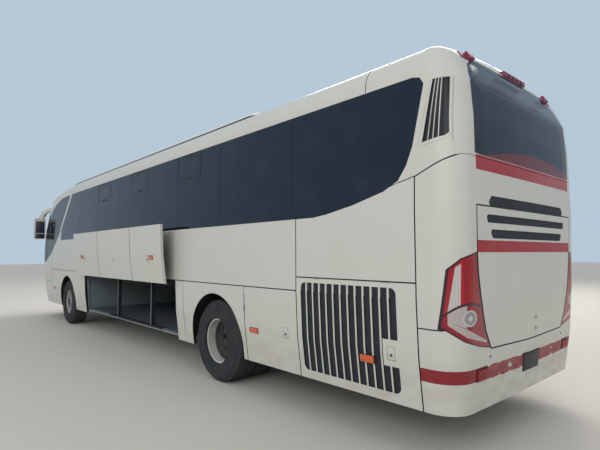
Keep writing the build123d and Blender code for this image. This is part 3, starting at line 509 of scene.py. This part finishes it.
# Rear cap and rear hatch: the moulded tail panel and the lid over the engine, hung at its top.
# A band of red film runs under the window and one over the lid, faded towards the right.
RED = (0.34, 0.012, 0.022)
FADED = (0.42, 0.17, 0.16)
HATCH_EDGE = (  # z, half width of the lid
    (0.866, 0.765), (1.012, 0.860), (1.177, 0.918), (1.302, 0.955), (1.468, 0.990), (1.640, 1.008),
    (1.997, 1.020),
)
REAR_JOINT = ((-5.395, 2.105), (-5.75, 2.206), (-5.922, 2.244), (-6.25, 2.385))
LENS_OUTLINE = (
    (0.863, -0.350), (0.901, -0.203), (0.958, -0.056), (1.040, 0.081), (1.047, 0.137), (1.503, 0.076),
    (1.588, -0.037), (1.656, -0.240),
)


def line_through(along, points):
    """Height of a line through some points, over the coordinate along it."""
    (a0, b0), (a1, b1) = points[0], points[1]
    height = (along - a0) * ((b1 - b0) / (a1 - a0)) + b0
    for (a0, b0), (a1, b1) in zip(points[1:], points[2:]):
        step = (along - a0) * ((b1 - b0) / (a1 - a0)) + b0 - height
        passed = along.above(a0, 0.0001) if a1 > a0 else along.below(a0, 0.0001)
        height = height + step * passed
    return height


def round_corner(look):
    """How far a point lies round the rear corner: nil on the corner, more towards the side."""
    return (look.x + HALF_LENGTH + look.out - HALF_WIDTH) * (1 / math.sqrt(2))


def tail_joints(look):
    """Joints round the hatch and the lamps, over the tail and down to the bumper."""
    tail = look.x.below(-6.1)
    lid_edge = near(look.out - line_through(look.z, HATCH_EDGE) - 0.004, JOINT_HALF)
    lid_foot = near(look.z - (look.out * (0.018 / 0.765) + 0.845), JOINT_HALF)
    rear_joint = near(look.z - line_through(look.x, REAR_JOINT), JOINT_HALF)
    lens_joint = near(round_corner(look) - line_through(look.z, LENS_OUTLINE), 0.007)
    return either(
        lid_edge * look.z.inside(0.862, 2.0) * tail,
        near(look.z - 2.003, JOINT_HALF) * look.out.below(1.026) * tail,
        lid_foot * look.out.below(0.775) * tail,
        rear_joint * look.x.below(-5.395) * look.z.below(2.38),
        near(look.z - 1.04, 0.005) * look.x.inside(-6.12, -5.91),
        lens_joint * look.z.inside(0.875, 1.645) * look.out.above(0.75))


def tail_film(look):
    """The two red bands across the tail, and their colour."""
    across = look.out.below(1.02, 0.001) * look.x.below(-6.0)
    bands = look.z.inside(2.283, 2.402).most(look.z.inside(1.632, 1.728)) * across
    wear = look.noise(3.0, 5.0, (1, 1, 3)).ramp(0.45, 0.7) * 0.1
    wear = wear + (1 - look.y.ramp(-1.0, 0.7)) * look.z.above(2.0) * 0.35
    return bands, look.mix(RED, FADED, wear)


tail_paint = paint("tail_paint", (side_joints, tail_joints), tail_film, shine=0.22)
dress(tail_paint, "rear_cap", "rear_hatch")


# Rear crown: the moulded shell over the tail, round the rear window. The window's black border
# reaches up over it to the roof lamps, and a slatted black vent is let into each flank.
VENT_SLATS = (0.25, 0.5, 0.75)
BORDER_TOP = ((0.0, 3.278), (0.80, 3.272), (0.93, 3.17), (0.99, 3.09), (1.028, 2.99), (1.034, 2.0))


def vent_line(look, share):
    """Distance from an upright line of the quarter vent: share 0 is its front edge, 1 its rear one."""
    foot, top = -5.983 - 0.182 * share, -6.078 - 0.085 * share
    return look.x - line_through(look.z, ((2.500, foot), (3.000, top)))


def quarter_vent(look):
    """Black ground of the vent with its slats left in paint, and a faint grey line round it, the painted
    shadow of its raised frame.
    """
    foot = line_through(look.x, ((-5.98, 2.505), (-6.165, 2.533), (-6.200, 2.56)))
    ground = vent_line(look, -0.03).below(0) * look.x.above(-6.193) * look.z.below(3.001)
    ground = ground * (look.z - foot).above(0)
    slats = either(*[near(vent_line(look, share), 0.0035) for share in VENT_SLATS])
    # a faint line round the vent: painted shadow of its raised frame
    uprights = near(vent_line(look, -0.22), 0.003).most(near(look.x + 6.212, 0.004))
    below = near(look.z - foot + 0.028, 0.003) * look.x.inside(-6.21, -5.95)
    frame_shadow_line = (uprights * look.z.inside(2.49, 3.0)).most(below) * look.x.below(-5.9)
    return ground * (1 - slats) + frame_shadow_line * 0.3


def window_border(look):
    """Black border of the rear window, printed on the glass."""
    return (look.z - line_through(look.out, BORDER_TOP)).below(0) * look.z.above(2.410) * look.x.below(-6.0)


crown_paint = paint("crown_paint", (side_joints, tail_joints, quarter_vent), tail_film, glazed=window_border,
                    shine=0.22)
dress(crown_paint, "rear_crown")


# Rear bumper: a moulded beam round the tail in body paint. Its red stripe is whole round the
# corners, and torn, patched and faded between the reflectors.
BUMPER_RED = (0.235, 0.026, 0.033)


def bumper_film(look):
    """The stripe round the bumper, and its colour."""
    torn = look.noise(7.0, 6.0, (1, 1.0, 2.2))
    corners = look.z.inside(0.63, 0.735) * look.x.below(-5.912) * look.out.above(0.82)
    middle = (look.z + torn * 0.05).inside(0.640, 0.752) * look.out.below(0.80) * look.x.below(-6.1)
    patches = torn.ramp(0.30, 0.37) * look.y.ramp(-0.9, 0.4).most(0.55)
    wear = look.noise(4.0, 5.0, (1, 1, 4)).ramp(0.42, 0.75) * look.out.below(0.81) * 0.35
    return corners.most(middle * patches.above(0.35, 0.05)), look.mix(BUMPER_RED, FADED, wear)


bumper_paint = paint("bumper_paint", (side_joints, tail_joints), bumper_film, shine=0.22)
dress(bumper_paint, "rear_bumper")


# Roof fairing: a long moulded cover along the roof in a brighter white, which stands on a plinth.
# The foot of its side and its underside are painted near black, as the shadow in the gap under its edge.
fairing_paint = paint("fairing_paint")
# painted shadow: the foot of the side and the faces looking down go near black
fairing_gap_shade = fairing_paint.z.below(3.416, 0.001).most(fairing_paint.facing(2).below(-0.35, 0.1))
fairing_gap_shade = fairing_gap_shade * fairing_paint.x.inside(-3.33, 4.47, 0.004)
fairing_paint.set("Base Color", fairing_paint.mix((0.72, 0.72, 0.69), (0.02, 0.02, 0.02), fairing_gap_shade))
dress(fairing_paint, "roof_fairing")


# Luggage doors: three flat panels a side in body paint with a dark red inner face, and black
# rubber where two of them meet. Each hangs on two bent steel arms, which lift it clear.
INNER_RED = (0.07, 0.012, 0.02)


def door_joints(look):
    return near(look.x + 0.666, 0.007).most(near(look.x - 0.904, 0.007))


def inner_face(look):
    """The face that looks towards the middle of the coach, and its colour."""
    outwards = look.facing(1) * (2 * look.y.ramp(-0.01, 0.01) - 1)
    return 1 - outwards.ramp(-0.6, -0.4), INNER_RED


door_paint = paint("door_paint", (door_joints,), inner=inner_face)
dress(door_paint, "luggage_door")
dress(bright_steel, "luggage_arms")


# Entry door on the right: a painted frame round tinted glass, carried by a steel post and arms,
# which swing it out and forwards.
dress(body_paint, "entry_door")
dress(bright_steel, "entry_door_arm")


# Side, rear and front glass: tinted panes, nearly black and glossy with a little dust. The side
# panes and the rear window hide the seats, and the windscreen and the door let some light through.
def tinted(name, tint, through, index, arc=None):
    look = Finish(name, IOR=index)
    dust = look.noise(3.0, 4.0).ramp(0.45, 0.8)
    colour = look.mix(tint, (0.12, 0.12, 0.115), dust * 0.06)
    if arc:
        mask, arc_colour = arc(look)
        colour = look.mix(colour, arc_colour, mask)
    look.set("Base Color", colour)
    look.set("Roughness", dust * 0.06 + 0.04)
    look.set("Alpha", dust * (0.999 - through) + through)
    look.material.blend_method = "BLEND"
    return look


def maroon_arc(look):
    """The dark red arc along the foot of the rear window, and its colour."""
    off_middle = look.y + 0.2
    top = 2.53 - off_middle * off_middle * 0.11
    return (look.z - top).below(0, 0.004) * 0.8, (0.16, 0.012, 0.03)


side_glass = tinted("side_glass", (0.008, 0.015, 0.029), 0.95, 1.36)
dress(side_glass, "side_glass")
front_glass = tinted("front_glass", (0.016, 0.034, 0.036), 0.72, 1.36)
dress(front_glass, "windscreen", "entry_door_glass")
rear_glass = tinted("rear_glass", GLASS_TINT, 0.99, 1.28, maroon_arc)
rear_glass.set("Normal", rear_glass.node("Bevel", {"Radius": 0.16}, samples=8))
dress(rear_glass, "rear_glass")


# Rear lamps: a moulded lens wraps each corner, bonded in a dark rim. Over its curved divider stands
# a slanted clear strip between bright and ribbed red, and under it a pale bowl holds a round clear
# lamp, with a clear strip down to the foot.
lens = Finish("rear_lens", rough=0.15, Coat_Weight=0.3, Coat_Roughness=0.05, Specular_IOR_Level=0.3)
corner = round_corner(lens)


def right_of(x0, z0, x1, z1):
    """Distance to the right of a line up the lens, by two points on it across and up."""
    slope = (x1 - x0) / (z1 - z0)
    return corner - (lens.z * slope + (x0 - z0 * slope))


def over(x0, z0, x1, z1):
    """Height over a line across the lens."""
    slope = (z1 - z0) / (x1 - x0)
    return lens.z - (corner * slope + (z0 - x0 * slope))


divider = lens.z - (1.2178 - corner * corner * 2.0 - corner * 0.42)
strip_edge = right_of(0.0742, 1.1911, 0.0148, 1.5185)
strip = strip_edge.below(0) * right_of(-0.0226, 1.2383, -0.0317, 1.5464).above(0)
strip = strip * over(0.0148, 1.5185, -0.0317, 1.5464).below(0)
ribs = (lens.out * 95.0).fraction().inside(0.25, 0.75, 0.2)
upper = lens.mix((0.24, 0.004, 0.008), (0.33, 0.008, 0.012), ribs)
upper = lens.mix(upper, (0.38, 0.008, 0.018), (corner + 0.05).above(0, 0.004))
upper = lens.mix(upper, (0.32, 0.010, 0.022), strip_edge.above(0))
upper = lens.mix(upper, (0.50, 0.49, 0.46), strip * ((corner * 260.0).wave() * 0.06 + 0.94))

bowl_x, bowl_z = (corner + 0.1075) * (1 / 0.068), (lens.z - 1.1303) * (1 / 0.0625)
bowl_r = (bowl_x * bowl_x + bowl_z * bowl_z).root()
foot_strip = over(0.0747, 1.0833, -0.0785, 0.9867).least(over(-0.0785, 0.9867, -0.2502, 0.9301))
pale = foot_strip.above(0) * corner.below(0.0745) * corner.above(-0.285)
pale = pale * (corner + 0.075).above(0, 0.004).most(over(-0.047, 1.0687, -0.2793, 0.9396).below(0))
# a darker line along a crease of the pale part: painted shade
crease_shade = near(over(0.04, 1.10, -0.16, 1.02), 0.003) * corner.below(0.03) * bowl_r.above(1.0)
pale_colour = lens.mix((0.42, 0.37, 0.35), (0.20, 0.19, 0.19), crease_shade)
facets = (abs(bowl_x) * 3.0 + abs(bowl_z) * 2.0).fraction().inside(0.3, 0.8, 0.15)
bowl_ring = bowl_r.inside(0.30, 0.80, 0.08) * (facets * 0.7 + 0.3)
bowl = lens.mix((0.50, 0.50, 0.49), (0.13, 0.14, 0.14), bowl_ring)
lower = lens.mix((0.26, 0.010, 0.026), pale_colour, pale)
lower = lens.mix(lower, bowl, bowl_r.below(1.0, 0.02))

colour = lens.mix(lower, upper, divider.above(0))
colour = lens.mix(colour, (0.035, 0.010, 0.022), near(divider, 0.010))
foot = lens.z - line_through(corner, ((-0.350, 0.863), (-0.203, 0.901), (-0.056, 0.958), (0.081, 1.040)))
lens_rim = either(
    right_of(0.137, 1.047, 0.076, 1.503).above(-0.017, 0.006),
    (lens.out - line_through(lens.z, HATCH_EDGE)).below(0.026, 0.006),
    foot.below(0.010, 0.003),
    over(0.076, 1.503, -0.037, 1.588).above(-0.014, 0.004),
    over(-0.037, 1.588, -0.240, 1.656).above(-0.012, 0.004))
colour = lens.mix(colour, (0.040, 0.010, 0.018), lens_rim)
roof_solids = lens.mix((0.22, 0.01, 0.015), (0.34, 0.02, 0.03), lens.noise(20.0))
lens.set("Base Color", lens.mix(colour, roof_solids, lens.z.above(2.5)))
lens.bump((corner * 260.0).wave() * 0.5, 0.0008)
dress(lens, "rear_lamps")


# Roof lamps: three ribbed dark red lenses stand on the crown over the rear window, a long one in
# the middle and a short one at each corner, each moulded in five steps round the curve.
ROOF_LAMPS = (("left", 0.87, 3.26, 0.18), ("middle", -0.05, 3.30, 0.50), ("right", -0.87, 3.26, 0.18))
roof_red = Finish("roof_lamp_red", (0.22, 0.035, 0.07), 0.3, Specular_IOR_Level=0.3)
roof_red.bump((roof_red.y * 500.0).wave() * 0.5, 0.001)


def seat(node, start, towards):
    """Where a line meets a node: Z leaves the surface there and Y points up."""
    found, place, normal, _ = nodes[node].ray_cast(Vector(start), Vector(towards))
    if not found:
        raise ValueError(f"no surface of {node} on the line from {start}")
    up = Vector((0, 0, 1)) if abs(normal.z) < 0.9 else Vector((1, 0, 0))
    across = up.cross(normal).normalized()
    turn = Matrix((across, normal.cross(across), normal)).transposed().to_4x4()
    return Matrix.Translation(place) @ turn


for name, y, z, width in ROOF_LAMPS:
    mesh = bmesh.new()
    for step in range(5):
        spot = y + width * (step / 4 - 0.5) * 0.7
        place = seat("rear_crown", (-7.5, spot, z + 1.1), (1.33, 0, -1.08))
        move = Matrix.Translation((0, 0.01, 0.008)) @ Matrix.Diagonal((width * 0.24, 0.080, 0.044, 1))
        bmesh.ops.create_cube(mesh, size=1.0, matrix=place @ move)
    finish_piece(f"roof_lamp_{name}", mesh, BODY, roof_red, 0.004)


# Headlamps: clear lenses let into the front corners, over a dark housing with two bright round
# lamps, and amber at the end that turns to the side.
HEAD_BOWLS = ((0.015, 1.105, 0.066), (0.170, 1.078, 0.052))
headlamp = Finish("headlamp_lens", rough=0.08, Metallic=0.3, Coat_Weight=1.0)
front_corner = (headlamp.x - headlamp.out - (HALF_LENGTH - HALF_WIDTH)) * (1 / math.sqrt(2))
colour = headlamp.mix((0.028, 0.030, 0.034), (0.55, 0.17, 0.02), front_corner.below(-0.085, 0.003))
relief = 0.0
for centre, height, radius in HEAD_BOWLS:
    across, up = front_corner - centre, headlamp.z - height
    away = (across * across + up * up).root()
    colour = headlamp.mix(colour, (0.62, 0.63, 0.64), away.below(radius))
    colour = headlamp.mix(colour, (0.20, 0.21, 0.23), away.inside(radius * 0.30, radius * 0.80, 0.004))
    relief = away.below(radius, 0.006) + relief
headlamp.set("Base Color", colour)
headlamp.bump(relief, 0.006)
dress(headlamp, "headlamps")


# Mirrors: white moulded shells on horns from the roof's front corners, a little greyer over the
# head. Each shell's rear face holds a large glass and a small one below it, in a rubber rim.
housing = Finish("mirror_housing", rough=0.4)
housing.set("Base Color", housing.mix((0.60, 0.60, 0.57), WHITE, housing.z.above(2.52, 0.005)))
housing.bump(housing.noise(30.0), 0.0004)
dress(housing, "mirrors")
seal_rubber = grimy("seal_rubber", (0.012, 0.012, 0.012), (0.05, 0.045, 0.04), 0.75, 40.0)
mirror_face = Finish("mirror_face", (0.03, 0.035, 0.05), 0.05)
mirror_face.bump(mirror_face.noise(4.0), 0.0004)


def block(name, place, size, body, look, bevel=0.0, lift=0.0):
    """A rounded block that stands on its place, sunk into it by half a millimetre."""
    mesh = bmesh.new()
    move = Matrix.Translation((0, 0, lift + size[2] / 2 - SUNK)) @ Matrix.Diagonal((*size, 1))
    bmesh.ops.create_cube(mesh, size=1.0, matrix=place @ move)
    finish_piece(name, mesh, body, look, bevel)


for side, sign in SIDES:
    for number, (z, height) in enumerate(((2.375, 0.30), (2.135, 0.11))):
        place = seat("mirrors", (3.0, sign * 1.415, z), (1, 0, 0))
        tag = f"{side}_{number}"
        edge, glass = (0.215, height + 0.015, 0.008), (0.200, height, 0.012)
        block("mirror_edge_" + tag, place, edge, BODY, seal_rubber, 0.003)
        block("mirror_glass_" + tag, place, glass, BODY, mirror_face, 0.003)


# Side marker lamps: small ribbed amber lenses on rubber bases, screwed to the doors and skirts.
# Those on a luggage door rise with it.
LIFT = 0.818  # how high the left luggage doors stand raised at rest
MARKERS = (  # what carries it, x, z and the height of its base
    ("service_door", -3.727, 0.755, 0.062), ("radiator_door", -5.386, 0.716, 0.072),
    ("luggage_door_3", -1.457, 0.762, 0.062), ("luggage_door_1", 1.86, 0.762, 0.062),
    ("skirt", 4.87, 0.785, 0.062),
)
amber = Finish("amber_lens", (0.62, 0.09, 0.02), 0.2, Coat_Weight=1.0)
amber.bump((amber.x * 900.0).wave() * 0.5, 0.0008)


def side_seat(node, x, z, sign):
    """A seat on the side of a node, taken beside a gap where the line falls into one."""
    for shift in (0, 0.02, -0.02, 0.04, -0.04):
        start, towards = (x + shift, sign * 2.2, z), (0, -sign, 0)
        found, place, _, _ = nodes[node].ray_cast(start, towards)
        if found and abs(place.y) > 1.2:
            return Matrix.Translation((-shift, 0, 0)) @ seat(node, start, towards)
    raise ValueError(f"no side surface of {node} near {x}, {z}")


def side_place(kind, x, z, side, sign):
    """The node of a kind on one side, and a seat on it where it stands at rest."""
    if kind.startswith("luggage_door"):
        node = f"luggage_door_{side}_{kind[-1]}"
        z = z + LIFT if side == "left" else z
    elif kind == "radiator_door":
        node = kind if side == "left" else "engine_door"
    else:
        node = f"{kind}_{side}"
    return node, side_seat(node, x, z, sign)


for side, sign in SIDES:
    for kind, x, z, tall in MARKERS:
        if kind == "skirt" and side == "right":
            continue
        node, place = side_place(kind, x, z, side, sign)
        body = BODY if kind == "skirt" else node
        tag = f"{kind}_{side}"
        block("marker_base_" + tag, place, (0.158, tall, 0.006), body, seal_rubber, 0.002)
        block("marker_" + tag, place, (0.150, tall - 0.008, 0.018), body, amber, 0.006)


# Door locks: a small black lock barrel under a square flap, whose cut edges show as thin lines.
LOCKS = (
    ("service_door", -4.293, 0.80), ("radiator_door", -5.645, 0.80), ("luggage_door_3", -1.33, 0.74),
    ("luggage_door_2", 0.089, 0.74), ("luggage_door_1", 1.70, 0.74),
)
FLAP_EDGES = (
    (0, 0.055, 0.078, 0.003), (0, -0.055, 0.078, 0.003), (-0.037, 0, 0.003, 0.112), (0.037, 0, 0.003, 0.112),
)
panel_edge = grimy("panel_edge", (0.26, 0.26, 0.25), (0.15, 0.14, 0.13), 0.6, 30.0)


def bars(name, places, sizes, thick, body, look, bevel=0.0):
    """Flat bars of one thickness, half let into the surface: right, up, width and height of each."""
    mesh = bmesh.new()
    for place in places:
        for right, up, wide, high in sizes:
            move = Matrix.Translation((right, up, 0)) @ Matrix.Diagonal((wide, high, thick, 1))
            bmesh.ops.create_cube(mesh, size=1.0, matrix=place @ move)
    finish_piece(name, mesh, body, look, bevel)


def studs(name, place, radius, height, body, look, bevel=0.0, ups=(0,)):
    """Round heads of one size on a surface, one at each height up from its place."""
    mesh = bmesh.new()
    for up in ups:
        move = Matrix.Translation((0, up, height / 2 - SUNK))
        bmesh.ops.create_cone(mesh, cap_ends=True, segments=24, radius1=radius, radius2=radius, depth=height,
                              matrix=place @ move)
    finish_piece(name, mesh, body, look, bevel)


for side, sign in SIDES:
    for kind, x, z in LOCKS:
        node, place = side_place(kind, x, z, side, sign)
        tag = f"{kind}_{side}"
        bars("lock_edge_" + tag, [place], FLAP_EDGES, 0.002, node, panel_edge)
        studs("lock_" + tag, place, 0.012, 0.006, node, chassis_paint, 0.0015, (-0.015,))


# Vent mesh: fine woven wire behind the slots of the tail, the quarter vents and the grille of the
# radiator door. It is pinned just under the skin and follows its curve.
MESH_DEPTH = 0.010
WIRES = 150.0  # to the metre
TAIL_SLOTS = (  # what carries the mesh, its lower and upper edge and its half width
    ("rear_hatch", 1.735, 1.828, 0.83), ("rear_hatch", 1.860, 1.947, 0.885), (BODY, 2.014, 2.096, 0.875),
)
QUARTER_CORNERS = (((-6.178, 2.500), (-5.975, 2.500)), ((-6.178, 3.004), (-6.070, 3.004)))
GRILLE_CORNERS = (((-5.722, 0.462), (-4.543, 0.462)), ((-5.722, 1.347), (-4.543, 1.347)))
wire = Finish("vent_mesh", rough=0.7)
across, along, up = [(part * WIRES).fraction().inside(0.2, 0.8, 0.1) for part in (wire.x, wire.y, wire.z)]
cell = up * across.most(along)
wire.set("Base Color", wire.mix((0.022, 0.028, 0.036), (0.010, 0.013, 0.017), cell))
wire.bump(cell, 0.0015)


def under_tail(y, z):
    side_in, tail_in = stand_in(z)
    return -HALF_LENGTH + tail_in + MESH_DEPTH + 0.015 * (y / (HALF_WIDTH - side_in)) ** 2, y, z


for number, (body, low, high, half) in enumerate(TAIL_SLOTS):
    sheet(f"tail_mesh_{number}", body, (((-half, low), (half, low)), ((-half, high), (half, high))),
          under_tail, wire)
for side, sign in SIDES:
    sheet(f"quarter_mesh_{side}", BODY, QUARTER_CORNERS,
          lambda x, z: (x, sign * side_y(x, z, MESH_DEPTH), z), wire)
sheet("radiator_mesh", "radiator_door", GRILLE_CORNERS,
      lambda x, z: (x, side_y(x, z, MESH_DEPTH), z), wire, 6, 12)


# Hopper windows: three small opening lights a side, cut into the panes. A thin black frame, a
# hinge bar along its top and a latch at its foot stand a little proud of the glass.
HOPPERS = (1.36, -0.41, -2.13)
HOPPER_BARS = (
    (0, 0.18, 0.68, 0.005), (0, -0.18, 0.68, 0.005), (-0.34, 0, 0.005, 0.365), (0.34, 0, 0.005, 0.365),
    (0, -0.155, 0.16, 0.03), (0, 0.155, 0.30, 0.01),
)
for side, sign in SIDES:
    places = [side_seat(f"side_glass_{side}", x, 2.87, sign) for x in HOPPERS]
    bars(f"hoppers_{side}", places, HOPPER_BARS, 0.006, BODY, wire, 0.001)


# Tail fittings: a blank black plate in a rim on the bumper, a red reflector in a rubber rim to
# each side, two screws, and the two barrels of the hatch lock.
reflector_red = Finish("reflector_red", (0.25, 0.006, 0.012), 0.4, Specular_IOR_Level=0.25)
reflector_red.bump((reflector_red.y * 900.0).wave() * 0.5, 0.0008)


def blank_plate(name, place, wide, high):
    rim_size = (wide + 0.015, high + 0.015, 0.006)
    block(name, place, (wide, high, 0.006), BODY, black_plastic, 0.002, 0.004)
    block(name + "_rim", place, rim_size, BODY, seal_rubber, 0.002)


blank_plate("rear_plate", seat("rear_bumper", (-8, -0.035, 0.645), (1, 0, 0)), 0.33, 0.15)
for side, sign in SIDES:
    place = seat("rear_bumper", (-8, sign * 0.90, 0.675), (1, 0, 0))
    block(f"reflector_rim_{side}", place, (0.17, 0.10, 0.006), BODY, seal_rubber, 0.002)
    block(f"reflector_{side}", place, (0.155, 0.084, 0.008), BODY, reflector_red, 0.002, 0.004)
    place = seat("rear_bumper", (-8, sign * 0.78, 0.80), (1, 0, 0))
    studs(f"bumper_screw_{side}", place, 0.008, 0.004, BODY, seal_rubber)
place = seat("rear_hatch", (-8, -0.11, 1.03), (1, 0, 0))
studs("hatch_lock", place, 0.014, 0.006, "rear_hatch", bright_steel, 0.002, (0, -0.10))


# Front fittings: two wipers parked along the foot of the windscreen, each a rubber blade under a
# black arm from a pivot near the middle, and a blank plate on the bumper.
def on_front(out):
    """A rule for points of the front by y and z, so far out from the glass or the cap."""
    def point(y, z):
        for node in ("windscreen", "front_cap"):
            found, place, _, _ = nodes[node].ray_cast((8, y, z), (-1, 0, 0))
            if found:
                return place + Vector((out, 0, 0))
        raise ValueError(f"no front surface at {y}, {z}")
    return point


for side, sign in SIDES:
    blade = (((sign * 0.12, 1.446), (sign * 0.98, 1.462)), ((sign * 0.12, 1.462), (sign * 0.98, 1.478)))
    arm = (((sign * 0.07, 1.318), (sign * 0.52, 1.446)), ((sign * 0.07, 1.346), (sign * 0.52, 1.466)))
    sheet(f"wiper_blade_{side}", BODY, blade, on_front(0.010), black_plastic, 24, 1, 0.010)
    sheet(f"wiper_arm_{side}", BODY, arm, on_front(0.018), black_plastic, 12, 1, 0.008)
    place = seat("front_cap", (8, sign * 0.075, 1.332), (-1, 0, 0))
    studs(f"wiper_pivot_{side}", place, 0.026, 0.022, BODY, black_plastic, 0.003)
blank_plate("front_plate", seat("front_bumper", (8, 0, 0.66), (-1, 0, 0)), 0.52, 0.12)


# Camera, where the photograph was taken from: behind the coach's left rear corner, at eye height.
YAW, PITCH, ROLL = -0.732, 0.06314, -0.00399
FOCAL_PX, FRAME_PX = 451.34, 600
forward = Vector((math.cos(PITCH) * math.cos(YAW), math.cos(PITCH) * math.sin(YAW), math.sin(PITCH)))
level = Vector((math.sin(YAW), -math.cos(YAW), 0))
upright = level.cross(forward)
right = level * math.cos(ROLL) + upright * math.sin(ROLL)
upward = upright * math.cos(ROLL) - level * math.sin(ROLL)
camera_data = bpy.data.cameras.new("camera")
camera_data.sensor_width = 36
camera_data.lens = FOCAL_PX / FRAME_PX * 36
camera = bpy.data.objects.new("camera", camera_data)
turn = Matrix((right, upward, -forward)).transposed().to_4x4()
camera.matrix_world = Matrix.Translation((-7.96387, 4.37032, 1.62785)) @ turn
bpy.context.scene.collection.objects.link(camera)
bpy.context.scene.camera = camera


# Studio: a plain pale floor just under the tyres, a pale blue surround that lights softly from
# all round, a large soft lamp over the right side and a weaker one over the left rear.
floor_look = Finish("studio_floor", (0.62, 0.59, 0.53), 0.8)
floor_look.bump(floor_look.noise(60.0), 0.001)
mesh = bmesh.new()
bmesh.ops.create_grid(mesh, x_segments=1, y_segments=1, size=80, matrix=Matrix.Translation((0, 0, -0.001)))
floor_data = bpy.data.meshes.new("floor")
mesh.to_mesh(floor_data)
mesh.free()
floor_data.materials.append(floor_look.material)
floor = bpy.data.objects.new("floor", floor_data)
bpy.context.scene.collection.objects.link(floor)

world = bpy.data.worlds.new("studio")
world.use_nodes = True
surround = Value(world.node_tree)
rays = ("Is Camera Ray", "Is Glossy Ray", "Is Transmission Ray")
seen = either(*[surround.node("LightPath", {}, ray) for ray in rays])
shade = surround.node("Mix", {0: seen, 6: (0.66, 0.68, 0.72), 7: (0.47, 0.58, 0.69)}, 2, data_type="RGBA")
background = world.node_tree.nodes["Background"]
surround.feed(background.inputs["Color"], shade)
surround.feed(background.inputs["Strength"], 1.0)
bpy.context.scene.world = world


def soft_lamp(name, place, target, size, power, colour):
    data = bpy.data.lights.new(name, "AREA")
    data.shape = "RECTANGLE"
    data.size, data.size_y = size
    data.energy = power
    data.color = colour
    lamp = bpy.data.objects.new(name, data)
    direction = Vector(target) - Vector(place)
    lamp.matrix_world = Matrix.Translation(place) @ direction.to_track_quat("-Z", "Y").to_matrix().to_4x4()
    bpy.context.scene.collection.objects.link(lamp)


soft_lamp("key", (4, -13, 14), (-1, 0, 1.0), (14, 10), 2300, (1.0, 0.96, 0.9))
soft_lamp("fill", (-10, 15, 8), (-2, 1, 1.5), (14, 6), 960, (1.0, 0.99, 0.97))
bpy.context.scene.view_settings.view_transform = "Standard"
